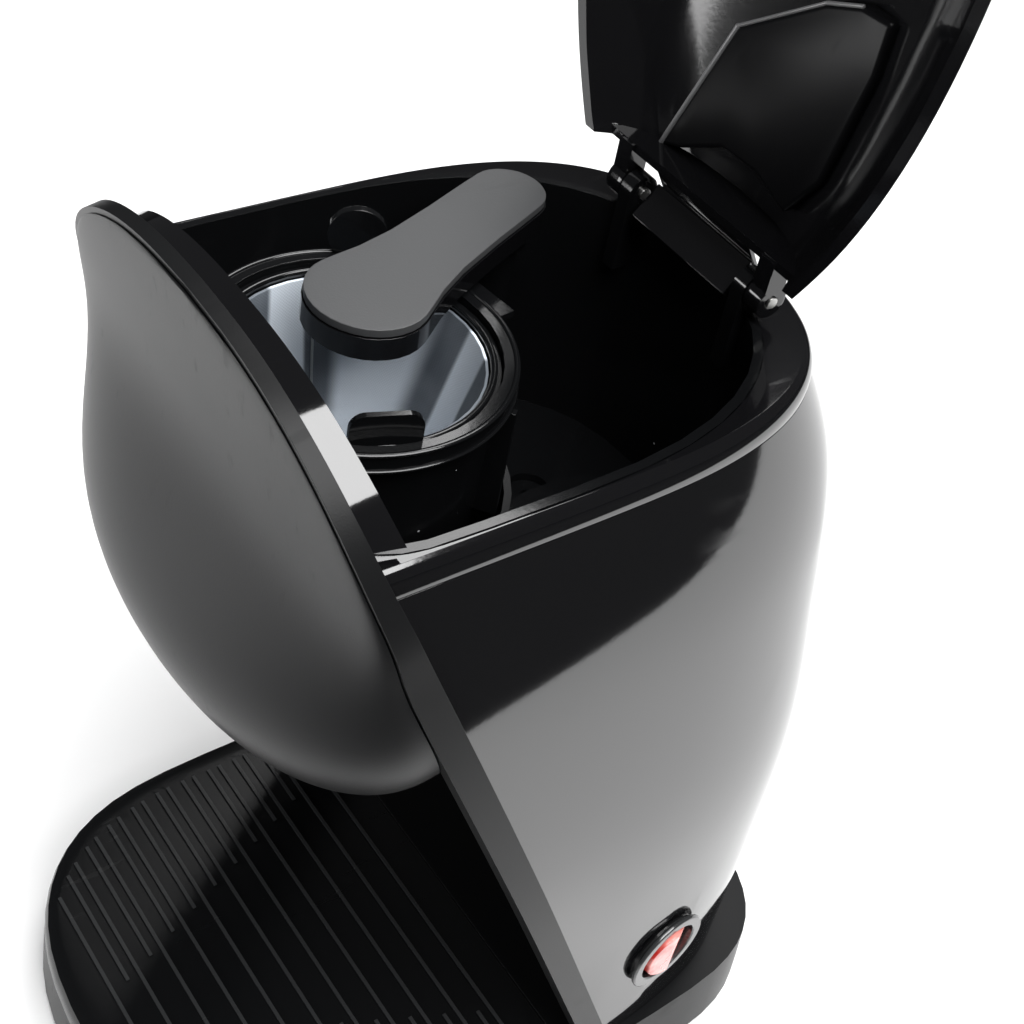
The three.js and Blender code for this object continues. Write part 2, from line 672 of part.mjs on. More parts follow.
function tank() {
  const outer = tankLoft(0, TANK_FLOOR - TANK_WALL, RIM_TOP);
  const inner = tankLoft(TANK_WALL, TANK_FLOOR, RIM_TOP + 1);
  const collarFront = beforeFace(-GAP - 0.2).intersect(boxSolid(-200, 200, -200, 200, SHELL_TOP - 6, 400));
  const basin = discSolid(BASIN_RADIUS + 1.8, TANK_FLOOR - 1, BASIN_TOP, 0, 0, 40);
  const basinBore = discSolid(BASIN_RADIUS, TANK_FLOOR, BASIN_TOP + 1, 0, 0, 40);
  const basinWall = cut(basin, basinBore).intersect(tankLoft(TANK_WALL / 2, TANK_FLOOR - 1, RIM_TOP));
  const hump = planOutline({ half: 17, front: 46, rear: 82, frontMiddle: 58, rearMiddle: 66 });
  const step = slabSolid(hump, TANK_FLOOR - 1, TANK_FLOOR + STEP_HEIGHT).translate([STEP_X, 0, 0]);
  const ribs = [0, 12].map((x) =>
    boxSolid(STEP_X + x, STEP_X + x + 1.8, 76, 88, TANK_FLOOR - 1, TANK_FLOOR + STEP_HEIGHT + 6),
  );
  const marks = [0, 1, 2].map((i) =>
    boxSolid(TANK_HALF - TANK_WALL - 0.8, TANK_HALF - 1, 8, 18, 212 + 14 * i, 213 + 14 * i),
  );
  const walls = cut(outer, inner, collarFront);
  const whole = join(walls, basinWall, step, ...ribs, ...marks, lug(-1), lug(1));
  const outlet = discSolid(SPOUT_NECK + GAP, TANK_FLOOR - 10, TANK_FLOOR + 5, 0, 0, 28);
  const riserHole = discSolid(RISER_RADIUS + GAP, TANK_FLOOR - 10, TANK_FLOOR + 5, RISER_X, RISER_Y, 20);
  const valveHole = discSolid(VALVE_RADIUS + GAP, TANK_FLOOR - 10, TANK_FLOOR + 30, VALVE_X, VALVE_Y, 20);
  return cut(whole, outlet, riserHole, valveHole);
}

// The glossy collar that slopes from the tank's lip out to the outer shell's upper edge.
function tankCollar() {
  const rings = [
    [SHELL_TOP + GAP, 0],
    [SHELL_TOP + 2, 0],
    [SHELL_TOP + 4, 0.5],
    [RIM_TOP - 1.2, 1.5],
    [RIM_TOP - 0.2, 2.8],
  ];
  const outer = loftSolid(rings.map(([z, inset]) => atHeight(shellOutline(SHELL_TOP, inset), z)));
  const tankRoom = slabSolid(tankOutline(-GAP), SHELL_TOP, RIM_TOP + 1);
  const lugHalf = LUG_THICKNESS / 2 + GAP;
  const lugRooms = [-LUG_X, LUG_X].map((x) =>
    boxSolid(x - lugHalf, x + lugHalf, HINGE_Y - LUG_RADIUS, HINGE_Y + LUG_RADIUS + GAP, SHELL_TOP, 400),
  );
  return cut(outer, tankRoom, beforeFace(-GAP - 0.2), ...lugRooms);
}

const STEP_HEIGHT = 10;
const STEP_X = 20;
const VALVE_X = -6;
const VALVE_Y = 66;
const VALVE_RADIUS = 5.5;
const SPOUT_NECK = 12;

// One hinge lug on the tank's rear wall, bored for its pin.
function lug(side) {
  const x0 = side * LUG_X - LUG_THICKNESS / 2;
  const x1 = x0 + LUG_THICKNESS;
  const eye = axleSolid(LUG_RADIUS, x0, x1, HINGE_Y, HINGE_Z);
  const web = boxSolid(x0, x1, HINGE_Y - LUG_RADIUS, TANK_REAR - 3, RIM_TOP - 16, HINGE_Z);
  const bore = axleSolid(PIN_RADIUS + 0.05, x0 - 5, x1 + 5, HINGE_Y, HINGE_Z, 16);
  return cut(join(eye, web), bore);
}

const RING_BOTTOM = RING_Z - 4;
const LEDGE_Z = RING_Z - 4.5;
const LEDGE_RADIUS = HOLDER_RADIUS - 0.2;

function filterHolder() {
  const cup = turnedSolid([
    [0, HOLDER_BOTTOM],
    [HOLDER_FOOT_RADIUS, HOLDER_BOTTOM],
    [HOLDER_RADIUS - 1.5, HOLDER_BOTTOM + 12],
    [HOLDER_RADIUS, RING_BOTTOM - 3],
    [HOLDER_RING_RADIUS, RING_BOTTOM],
    [HOLDER_RING_RADIUS, RING_Z],
    [LEDGE_RADIUS, RING_Z],
    [LEDGE_RADIUS, LEDGE_Z],
    [HOLDER_RADIUS - HOLDER_WALL, LEDGE_Z],
    [HOLDER_RADIUS - HOLDER_WALL - 1.5, HOLDER_BOTTOM + 13],
    [HOLDER_FOOT_RADIUS - HOLDER_WALL, HOLDER_BOTTOM + HOLDER_WALL + 1],
    [0, HOLDER_BOTTOM + HOLDER_WALL],
  ]);
  const drips = [-5, 5].map((x) => discSolid(1.8, HOLDER_BOTTOM - 5, HOLDER_BOTTOM + 10, x, 0, 12));
  // A flat catch reaches out behind, and a fin runs down the right side.
  const catchPlate = boxSolid(HOLDER_RING_RADIUS - 2, HOLDER_RING_RADIUS + 5, -7, 7, RING_Z - 3, RING_Z - 1.2);
  const fin = boxSolid(HOLDER_RADIUS - 3, HOLDER_RING_RADIUS + 1.6, -1, 1, HOLDER_BOTTOM + 30, RING_BOTTOM - 1);
  return cut(join(cup, catchPlate.rotate([0, 0, 97]), fin.rotate([0, 0, 40])), ...drips);
}

const GRIP_RADIUS = 7;
const GRIP_ANGLE = 149;

// The flat round finger tab that stands on the ring at the left rear.
function holderGrip() {
  const disc = axleSolid(GRIP_RADIUS, HOLDER_RING_RADIUS - 2, HOLDER_RING_RADIUS, 0, RING_Z + 5.5, 28);
  return disc.rotate([0, 0, GRIP_ANGLE]).intersect(boxSolid(-200, 200, -200, 200, RING_Z, 400));
}

const RIM_BOTTOM = LEDGE_Z + GAP;
const RIM_RADIUS = LEDGE_RADIUS - GAP;
const FILTER_BOTTOM = RIM_BOTTOM - FILTER_DEPTH;

function filterFrame() {
  const rim = cut(
    discSolid(RIM_RADIUS, RIM_BOTTOM, RIM_BOTTOM + 2.4, 0, 0, 40),
    discSolid(FILTER_RADIUS, RIM_BOTTOM - 1, RIM_BOTTOM + 4, 0, 0, 40),
  );
  const foot = cut(
    discSolid(FILTER_FOOT_RADIUS + 2, FILTER_BOTTOM, FILTER_BOTTOM + 2, 0, 0, 32),
    discSolid(FILTER_FOOT_RADIUS - 3, FILTER_BOTTOM - 1, FILTER_BOTTOM + 4, 0, 0, 32),
  );
  const rib = profileSolid(
    [
      [FILTER_FOOT_RADIUS + 0.6, FILTER_BOTTOM + 0.5],
      [FILTER_FOOT_RADIUS + 2, FILTER_BOTTOM + 0.5],
      [FILTER_RADIUS + 1.2, RIM_BOTTOM + 0.5],
      [FILTER_RADIUS + 0.1, RIM_BOTTOM + 0.5],
    ],
    -1.2,
    1.2,
  );
  const ribs = [0, 1, 2, 3].map((i) => rib.rotate([0, 0, 25 + 90 * i]));
  const handle = roundedTab(16, 10).rotate([0, 0, FILTER_TAB_ANGLE]);
  return join(rim, foot, ...ribs, handle);
}

const FILTER_TAB_ANGLE = -20;

// An upright tab with rounded upper corners, standing on the filter's rim.
function roundedTab(width, height) {
  const half = width / 2;
  const round = 3.5;
  const shape = new THREE.Shape();
  shape.moveTo(-half, 0);
  shape.lineTo(half, 0);
  shape.lineTo(half, height - round);
  shape.absarc(half - round, height - round, round, 0, Math.PI / 2, false);
  shape.absarc(-half + round, height - round, round, Math.PI / 2, Math.PI, false);
  const tab = new THREE.ExtrudeGeometry(shape, { depth: 1.4, bevelEnabled: false, curveSegments: 5 });
  tab.applyMatrix4(new THREE.Matrix4().set(0, 0, 1, FILTER_RADIUS - 0.1, 1, 0, 0, 0, 0, 1, 0, RIM_BOTTOM + 1, 0, 0, 0, 1));
  return toSolid(tab);
}

// The woven cup: a tapered bag of fine mesh, open at the top.
function filterMesh() {
  const top = RIM_BOTTOM + 1.6;
  return turnedSolid([
    [0, FILTER_BOTTOM + 2.3],
    [FILTER_FOOT_RADIUS, FILTER_BOTTOM + 2.3],
    [FILTER_RADIUS - GAP, top],
    [FILTER_RADIUS - GAP - MESH_THICKNESS, top],
    [FILTER_FOOT_RADIUS - MESH_THICKNESS, FILTER_BOTTOM + 2.3 + MESH_THICKNESS],
    [0, FILTER_BOTTOM + 2.3 + MESH_THICKNESS],
  ]);
}

// ---- Water arm ----

// The arm's outline about its head, with the neck running along +X to the rounded pivot end.
function armOutline(inset) {
  const head = ARM_HEAD_HALF - inset;
  const neck = ARM_NECK_HALF - inset;
  const points = [];
  for (let i = 0; i <= 10; i++) {
    const angle = Math.PI / 2.6 + (2 * Math.PI * (1 - 1 / 2.6) * i) / 10;
    points.push([head * Math.cos(angle) * 0.95, head * Math.sin(angle)]);
  }
  points.push([head + 4, -neck]);
  for (let i = 0; i <= 10; i++) {
    const angle = -Math.PI / 2 + (Math.PI * i) / 10;
    points.push([ARM_LENGTH + neck * Math.cos(angle), neck * Math.sin(angle)]);
  }
  points.push([head + 4, neck]);
  return points;
}

const placeArm = (solid) =>
  solid.rotate([0, 0, THREE.MathUtils.radToDeg(ARM_ANGLE)]).translate([ARM_HEAD_X, ARM_HEAD_Y, 0]);

function waterArm() {
  const top = ARM_TOP - ARM_COVER - GAP;
  const trough = cut(
    slabSolid(armOutline(0), ARM_BOTTOM, top),
    slabSolid(armOutline(ARM_WALL), ARM_BOTTOM + ARM_WALL, top + 1),
  );
  const socket = discSolid(RISER_RADIUS + GAP + ARM_WALL, ARM_BOTTOM - 6, ARM_BOTTOM + 1, ARM_LENGTH, 0, 24);
  const bore = discSolid(RISER_RADIUS + GAP, ARM_BOTTOM - 7, ARM_BOTTOM + ARM_WALL + 1, ARM_LENGTH, 0, 24);
  const drops = [0, 1, 2, 3, 4].map((i) => {
    const angle = (2 * Math.PI * i) / 5;
    return discSolid(1.3, ARM_BOTTOM - 1, ARM_BOTTOM + 3, 7 * Math.cos(angle), 7 * Math.sin(angle), 10);
  });
  return placeArm(cut(join(trough, socket), bore, ...drops));
}

const armCover = () => placeArm(slabSolid(armOutline(0.3), ARM_TOP - ARM_COVER, ARM_TOP));

function riserPipe() {
  const low = TANK_FLOOR - 22;
  const high = ARM_BOTTOM + ARM_WALL - 0.4;
  return cut(
    discSolid(RISER_RADIUS, low, high, RISER_X, RISER_Y),
    discSolid(RISER_BORE, low - 1, high + 1, RISER_X, RISER_Y),
  );
}

// ---- Outlet under the tank ----

const SPOUT_Y = 0;
const NOZZLE_X = 13;
const NOZZLE_RADIUS = 4;
const SPOUT_BOTTOM = 160;

// A funnel below the basin that splits into two nozzles, one for each cup.
function outletSpout() {
  const neckTop = TANK_FLOOR - 0.6;
  const neck = discSolid(SPOUT_NECK, TANK_FLOOR - 18, neckTop, 0, 0, 28);
  const flange = discSolid(SPOUT_NECK + 4, TANK_FLOOR - TANK_WALL - GAP - 2, TANK_FLOOR - TANK_WALL - GAP, 0, 0, 28);
  const trough = boxSolid(-NOZZLE_X - 5, NOZZLE_X + 5, SPOUT_Y - 6, 6, TANK_FLOOR - 23, TANK_FLOOR - 14);
  const troughHollow = boxSolid(-NOZZLE_X - 3, NOZZLE_X + 3, SPOUT_Y - 4, 4, TANK_FLOOR - 21, TANK_FLOOR - 16);
  const nozzles = [-NOZZLE_X, NOZZLE_X].map((x) =>
    discSolid(NOZZLE_RADIUS, SPOUT_BOTTOM, TANK_FLOOR - 20, x, SPOUT_Y, 20),
  );
  const bores = [-NOZZLE_X, NOZZLE_X].map((x) =>
    discSolid(NOZZLE_RADIUS - 1.4, SPOUT_BOTTOM - 1, TANK_FLOOR - 20, x, SPOUT_Y, 20),
  );
  const mouth = discSolid(SPOUT_NECK - 2, TANK_FLOOR - 17, TANK_FLOOR + 1, 0, 0, 28);
  return cut(join(neck, flange, trough, ...nozzles), troughHollow, mouth, ...bores);
}

// ---- Lid, modelled closed and then turned open about its hinge ----

// Half width and rear end of the lid's skin at each height above its lower edge.
function lidSize(z) {
  const spring = onFace(0, ARCH_SPRING, 0)[2];
  const rise = Math.min(1, Math.max(0, (z - spring) / (ARCH_TOP - spring)));
  const half = faceHalf(ARCH_SPRING) * (1 - rise ** ARCH_POWER) ** (1 / ARCH_POWER) - FRAME_PROUD;
  const up = Math.max(0, (z - LID_BOTTOM) / (LID_CROWN - LID_BOTTOM));
  const rear = LID_TAIL - (LID_TAIL + 50) * up ** LID_FULLNESS;
  return { half, rear, middle: -10 - 38 * up };
}

const ARCH_TOP = onFace(0, ARCH_SPRING + ARCH_RISE, 0)[2];
const LID_CROWN = ARCH_TOP - FRAME_PROUD;

function lidLoft(inset, bottom, top) {
  const rings = [];
  const levels = 12;
  for (let level = 0; level <= levels; level++) {
    const z = bottom + (top - bottom) * Math.sin((Math.PI / 2) * (level / levels));
    const { half, rear, middle } = lidSize(z + inset * 0.9);
    const outline = planOutline({
      half: Math.max(half - inset, 0.6),
      front: -110,
      rear: Math.max(rear - inset, middle + 2),
      frontMiddle: -100,
      rearMiddle: middle,
      frontPower: 8,
      rearPower: 2,
      steps: 18,
    });
    rings.push(atHeight(outline, z));
  }
  return loftSolid(rings);
}

function lidShell() {
  const top = LID_CROWN - 0.4;
  const skin = cut(lidLoft(0, LID_BOTTOM, top), lidLoft(LID_WALL, LID_BOTTOM - 1, top - LID_WALL));
  const rearCut = boxSolid(-200, 200, LID_REAR, 300, 0, 400);
  const trimmed = cut(skin, beforeFace(-LINER_DEPTH - 2 * GAP), rearCut);
  const rearWall = lidLoft(LID_WALL - 0.4, LID_BOTTOM + 4, top - LID_WALL + 0.4).intersect(
    boxSolid(-200, 200, LID_REAR - LID_WALL, LID_REAR, 0, 400),
  );
  const knuckles = [-1, 1].map((side) => knuckle(side));
  return join(trimmed, rearWall, ...knuckles);
}

// The lid's hinge arm outside each lug, reaching back to the pin.
function knuckle(side) {
  const inner = LUG_X + LUG_THICKNESS / 2 + 0.5;
  const x0 = side > 0 ? inner : -inner - KNUCKLE_THICKNESS;
  const x1 = x0 + KNUCKLE_THICKNESS;
  const eye = axleSolid(LUG_RADIUS, x0, x1, HINGE_Y, HINGE_Z);
  const armSolid = boxSolid(x0, x1, LID_REAR - 2, HINGE_Y, HINGE_Z - 3, HINGE_Z + 3);
  const bore = axleSolid(PIN_RADIUS + PIN_CLEARANCE, x0 - 5, x1 + 5, HINGE_Y, HINGE_Z, 16);
  return cut(join(eye, armSolid), bore);
}

const KNUCKLE_THICKNESS = 5;

// The raised plate inside the lid that turns the steam back, on four short posts.
function lidLiner() {
  const z0 = RING_Z + 15.2;
  const outline = [
    [-16, 46],
    [-29, 20],
    [-29, -8],
    [-18, -24],
    [18, -24],
    [29, -8],
    [29, 20],
    [16, 46],
  ];
  const places = [
    [-14, 36],
    [14, 36],
    [-14, -14],
    [14, -14],
  ];
  const under = lidLoft(LID_WALL + GAP, LID_BOTTOM - 1, LID_CROWN - 0.4 - LID_WALL - GAP);
  const posts = places.map(([x, y]) => discSolid(2.5, z0 + 1, 400, x, y, 12).intersect(under));
  return join(slabSolid(outline, z0, z0 + 1.6).intersect(under), ...posts);
}

function hingePin(side) {
  const x0 = side * (LUG_X - LUG_THICKNESS / 2 - 1);
  const x1 = side * (LUG_X + LUG_THICKNESS / 2 + KNUCKLE_THICKNESS + 1);
  return axleSolid(PIN_RADIUS, Math.min(x0, x1), Math.max(x0, x1), HINGE_Y, HINGE_Z, 16);
}

// A sloping plate between the lugs that covers the hinge from inside.
function hingeBaffle() {
  const half = LUG_X - LUG_THICKNESS / 2 - 2;
  return profileSolid(
    [
      [91.5, RIM_TOP + 2.2],
      [93.5, RIM_TOP + 0.8],
      [99.5, RIM_TOP + 8],
      [98.5, RIM_TOP + 10],
    ],
    -half,
    half,
  );
}

// ---- Bracket behind the shield ----

const BRACKET_ANGLE = -38;
const BRACKET_NEAR = HOLDER_RING_RADIUS + 1;
const BRACKET_TOP = RING_Z + 1.5;

function bracket() {
  const block = boxSolid(BRACKET_NEAR, BRACKET_NEAR + 7, -6, 6, BRACKET_TOP - 12, BRACKET_TOP);
  const step = boxSolid(BRACKET_NEAR, BRACKET_NEAR + 7, 0, 7, BRACKET_TOP - 2, BRACKET_TOP + 1);
  const pilot = discSolid(SCREW_RADIUS + 0.1, BRACKET_TOP - 7, BRACKET_TOP + 2, BRACKET_NEAR + 3.5, -3, 12);
  return cut(block, step, pilot).rotate([0, 0, BRACKET_ANGLE]);
}

function bracketScrew() {
  const head = discSolid(2.6, BRACKET_TOP + GAP, BRACKET_TOP + 1.8, BRACKET_NEAR + 3.5, -3, 16);
  const shank = discSolid(SCREW_RADIUS - 0.2, BRACKET_TOP - 6, BRACKET_TOP + 1, BRACKET_NEAR + 3.5, -3, 12);
  return join(head, shank).rotate([0, 0, BRACKET_ANGLE]);
}

// ---- Switch, in its own frame: X out of the wall ----

function switchBezel() {
  const flange = axleSolid(BEZEL_RADIUS, 0.6, BEZEL_LIP, 0, 0, 32);
  const sleeve = axleSolid(SWITCH_HOLE, -12, 1, 0, 0, 28);
  const well = axleSolid(ROCKER_RADIUS + 0.8, -20, 10, 0, 0, 28);
  return placeSwitch(cut(join(flange, sleeve), well));
}

// The rocker's two faces slope away from a ridge down its middle.
function switchRocker() {
  const barrel = axleSolid(ROCKER_RADIUS - 0.4, -8, 6, 0, 0, 28);
  const wedge = slabSolid(
    [
      [-7, 0],
      [-3, -9],
      [1.2, -8.6],
      [3.4, 0],
      [1.2, 8.6],
      [-3, 9],
    ],
    -ROCKER_RADIUS,
    ROCKER_RADIUS,
  );
  const turn = THREE.MathUtils.radToDeg(ROCKER_TILT);
  return placeSwitch(barrel.intersect(wedge).translate([2, 0, 0]).rotate([0, 0, turn]).translate([-2, 0, 0]));
}

const switchBody = () => placeSwitch(boxSolid(-24, -12.4, -7, 7, -9, 9));

// ---- Heating parts under the tank ----

const HEATER_Z = 96;
const HEATER_Y = 112;

// A cast block with its water tube alongside, as a U on its back.
function heater() {
  const block = boxSolid(-34, 34, HEATER_Y - 9, HEATER_Y + 9, HEATER_Z - 12, HEATER_Z + 12);
  const stubs = [-22, 22].map((x) => discSolid(3, HEATER_Z + 10, HEATER_Z + 26, x, HEATER_Y, 16));
  const bores = [-22, 22].map((x) => discSolid(1.8, HEATER_Z, HEATER_Z + 30, x, HEATER_Y, 12));
  return cut(join(block, ...stubs), ...bores);
}

const thermostat = () => discGeometry(7, HEATER_Z + 12 + GAP, HEATER_Z + 20, 4, HEATER_Y, 24);
const thermalFuse = () =>
  axleSolid(2.4, -14, 14, HEATER_Y - 9 - GAP - 2.6, HEATER_Z, 14);

// The valve hangs from the tank's floor and lets water down to the heater only.
function checkValve() {
  const top = TANK_FLOOR - TANK_WALL - GAP;
  const body = discSolid(VALVE_RADIUS + 2, top - 10, top, VALVE_X, VALVE_Y);
  const stub = discSolid(3, top - 18, top - 8, VALVE_X, VALVE_Y, 16);
  const bore = discSolid(1.8, top - 20, top + 2, VALVE_X, VALVE_Y, 12);
  return cut(join(body, stub), bore);
}

// Each hose slips over a stub at both ends, as a tube with a bore.
function hose(points) {
  const beyond = (end, next) => end.map((value, axis) => value + (value - next[axis]) * 0.2);
  const through = [beyond(points[0], points[1]), ...points, beyond(points.at(-1), points.at(-2))];
  const outer = tubeSolid(points, HOSE_RADIUS, 14);
  const inner = tubeSolid(through, HOSE_RADIUS - 1.6, 16);
  return cut(outer, inner);
}

function inletHose() {
  const top = TANK_FLOOR - TANK_WALL - GAP - 11;
  return hose([
    [VALVE_X, VALVE_Y, top - 8],
    [VALVE_X, VALVE_Y, top - 20],
    [10, 92, HEATER_Z + 50],
    [22, HEATER_Y, HEATER_Z + 40],
    [22, HEATER_Y, HEATER_Z + 27],
  ]);
}

function outletHose() {
  return hose([
    [-22, HEATER_Y, HEATER_Z + 27],
    [-22, HEATER_Y, HEATER_Z + 40],
    [-26, 98, HEATER_Z + 52],
    [RISER_X, RISER_Y + 10, TANK_FLOOR - 40],
    [RISER_X, RISER_Y, TANK_FLOOR - 32],
    [RISER_X, RISER_Y, TANK_FLOOR - 23],
  ]);
}

// The bushing that the mains lead would pass through.
function cordGland() {
  const y1 = BASE_REAR - 1.5;
  const sleeve = new THREE.CylinderGeometry(GLAND_HALF - 0.5, GLAND_HALF - 0.5, 10, 20);
  sleeve.translate(0, y1 - 5, 8 + GLAND_HALF + GAP);
  const bore = new THREE.CylinderGeometry(3.2, 3.2, 20, 16);
  bore.translate(0, y1 - 5, 8 + GLAND_HALF + GAP);
  return cut(toSolid(sleeve), toSolid(bore));
}

// ---- Assembly ----

const machine = new THREE.Group();
const add = (...pieces) => machine.add(...pieces);

add(mesh("base_housing", baseHousing(), SATIN_BLACK), mesh("base_cover", baseCover(), SATIN_BLACK));
FOOT_PLACES.forEach((place, i) => add(mesh(`foot_${i + 1}`, foot(place), RUBBER)));
SCREW_PLACES.forEach((place, i) => add(mesh(`base_screw_${i + 1}`, baseScrew(place), STEEL)));
add(
  mesh("cup_tray", cupTray(), SATIN_BLACK),
  mesh("body_shell", bodyShell(), GLOSS_BLACK),
  mesh("front_frame", frontFrame(), SATIN_BLACK),
  mesh("front_dome", frontDome(), SATIN_BLACK),
  mesh("shield_liner", shieldLiner(), GLOSS_BLACK),
  mesh("bay_panel", bayPanel(), SATIN_BLACK),
  mesh("tank", tank(), TANK_BLACK),
  mesh("tank_collar", tankCollar(), GLOSS_BLACK),
  mesh("filter_holder", filterHolder(), GLOSS_BLACK),
  mesh("holder_grip", holderGrip(), GLOSS_BLACK),
  mesh("filter_frame", filterFrame(), GLOSS_BLACK),
  mesh("filter_mesh", filterMesh(), MESH_GREY),
  mesh("water_arm", waterArm(), GLOSS_BLACK),
  mesh("water_arm_cover", armCover(), COVER_GREY),
  mesh("riser_pipe", riserPipe(), TANK_BLACK),
  mesh("outlet_spout", outletSpout(), TANK_BLACK),
  mesh("hinge_pin_left", hingePin(-1), STEEL),
  mesh("hinge_pin_right", hingePin(1), STEEL),
  mesh("hinge_baffle", hingeBaffle(), GLOSS_BLACK),
  mesh("bracket", bracket(), TANK_BLACK),
  mesh("bracket_screw", bracketScrew(), STEEL),
  mesh("switch_bezel", switchBezel(), SATIN_BLACK),
  mesh("switch_rocker", switchRocker(), ROCKER_RED),
  mesh("switch_body", switchBody(), SATIN_BLACK),
  mesh("heater", heater(), ALUMINIUM),
  mesh("thermostat", thermostat(), STEEL),
  mesh("thermal_fuse", thermalFuse(), SILICONE),
  mesh("check_valve", checkValve(), SILICONE),
  mesh("inlet_hose", inletHose(), SILICONE),
  mesh("outlet_hose", outletHose(), SILICONE),
  mesh("cord_gland", cordGland(), RUBBER),
);

const lid = new THREE.Group();
for (const piece of [mesh("lid_shell", lidShell(), GLOSS_BLACK), mesh("lid_liner", lidLiner(), GLOSS_BLACK)]) {
  piece.geometry.translate(0, -HINGE_Y, -HINGE_Z);
  lid.add(piece);
}
lid.position.set(0, HINGE_Y, HINGE_Z);
lid.rotation.x = -LID_OPEN;
add(lid);

// The origin goes under the middle of the whole machine, lid open.
const assembly = new THREE.Group();
assembly.add(machine);
assembly.updateMatrixWorld(true);
const middle = new THREE.Box3().setFromObject(assembly, true).getCenter(new THREE.Vector3());
machine.position.y = -middle.y;
assembly.updateMatrixWorld(true);

export default assembly;
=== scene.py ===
# %% [markdown]
# # A two-cup drip coffee maker with its lid open
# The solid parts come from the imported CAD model. Each one that shows is recast here with rolled
# edges, small mouldings are added to it, and every finish is built from nodes.

# %% Load the frame
import json
import math

import bpy
from mathutils import Matrix, Vector


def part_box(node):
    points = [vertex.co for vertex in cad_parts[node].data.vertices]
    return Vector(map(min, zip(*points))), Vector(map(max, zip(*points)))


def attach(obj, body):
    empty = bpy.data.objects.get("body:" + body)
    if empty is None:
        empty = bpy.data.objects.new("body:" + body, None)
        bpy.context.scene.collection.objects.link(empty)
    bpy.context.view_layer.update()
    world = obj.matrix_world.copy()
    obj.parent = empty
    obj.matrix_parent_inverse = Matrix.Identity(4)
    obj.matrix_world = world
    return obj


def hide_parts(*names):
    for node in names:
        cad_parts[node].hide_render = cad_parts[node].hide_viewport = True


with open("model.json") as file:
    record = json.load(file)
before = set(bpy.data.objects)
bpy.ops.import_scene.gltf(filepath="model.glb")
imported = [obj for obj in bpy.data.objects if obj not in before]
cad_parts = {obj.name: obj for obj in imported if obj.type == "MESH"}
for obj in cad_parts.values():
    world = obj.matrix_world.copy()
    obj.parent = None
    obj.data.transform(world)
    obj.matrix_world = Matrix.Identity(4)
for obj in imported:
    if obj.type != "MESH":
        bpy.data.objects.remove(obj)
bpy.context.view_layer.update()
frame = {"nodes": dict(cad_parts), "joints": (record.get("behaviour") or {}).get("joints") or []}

MM = 0.001
scene = bpy.context.scene

# %% [markdown]
# ## Where things are
# The main places are read from the CAD nodes. The filter's rim gives the axis that the holder
# and the filter share, and the lid's hinge gives the place of the cover behind it. Small sizes,
# such as a bead's thickness, are set in millimetres where a piece is made.


# %% Places
def middle(node):
    low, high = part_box(node)
    return (low + high) / 2


AXIS = middle("filter_mesh")
RING_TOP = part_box("filter_mesh")[1].z
TRAY_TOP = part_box("cup_tray")[1].z
HINGE = Vector(next(j for j in frame["joints"] if j["name"] == "lid_hinge")["pos_m"])
print("filter axis", [round(v, 4) for v in AXIS], "tray height", round(TRAY_TOP, 5))

# %% [markdown]
# ## A small language for finishes
# Shader nodes are written as arithmetic: `Amount` wraps a socket, and +, -, * and the rest each
# add a Math node. `Finish.add` makes any other node from its type, settings and inputs.


# %% Finishes as expressions
class Amount:
    """A number that varies over a surface."""

    def __init__(self, finish, socket):
        self.finish = finish
        self.socket = socket

    def math(self, operation, *others):
        node = self.finish.add("ShaderNodeMath", {"operation": operation}, self, *others)
        return Amount(self.finish, node.outputs[0])

    def __add__(self, other):
        return self.math("ADD", other)

    def __sub__(self, other):
        return self.math("SUBTRACT", other)

    def __mul__(self, other):
        return self.math("MULTIPLY", other)

    def __rsub__(self, other):
        return self * -1.0 + other

    def __lt__(self, other):
        return self.math("LESS_THAN", other)

    def __gt__(self, other):
        return self.math("GREATER_THAN", other)

    __radd__ = __add__
    __rmul__ = __mul__

    def between(self, low, high):
        """0 below low, 1 above high, and a smooth step from one to the other."""
        settings = {"interpolation_type": "SMOOTHSTEP"}
        node = self.finish.add("ShaderNodeMapRange", settings, self, low, high)
        return Amount(self.finish, node.outputs[0])


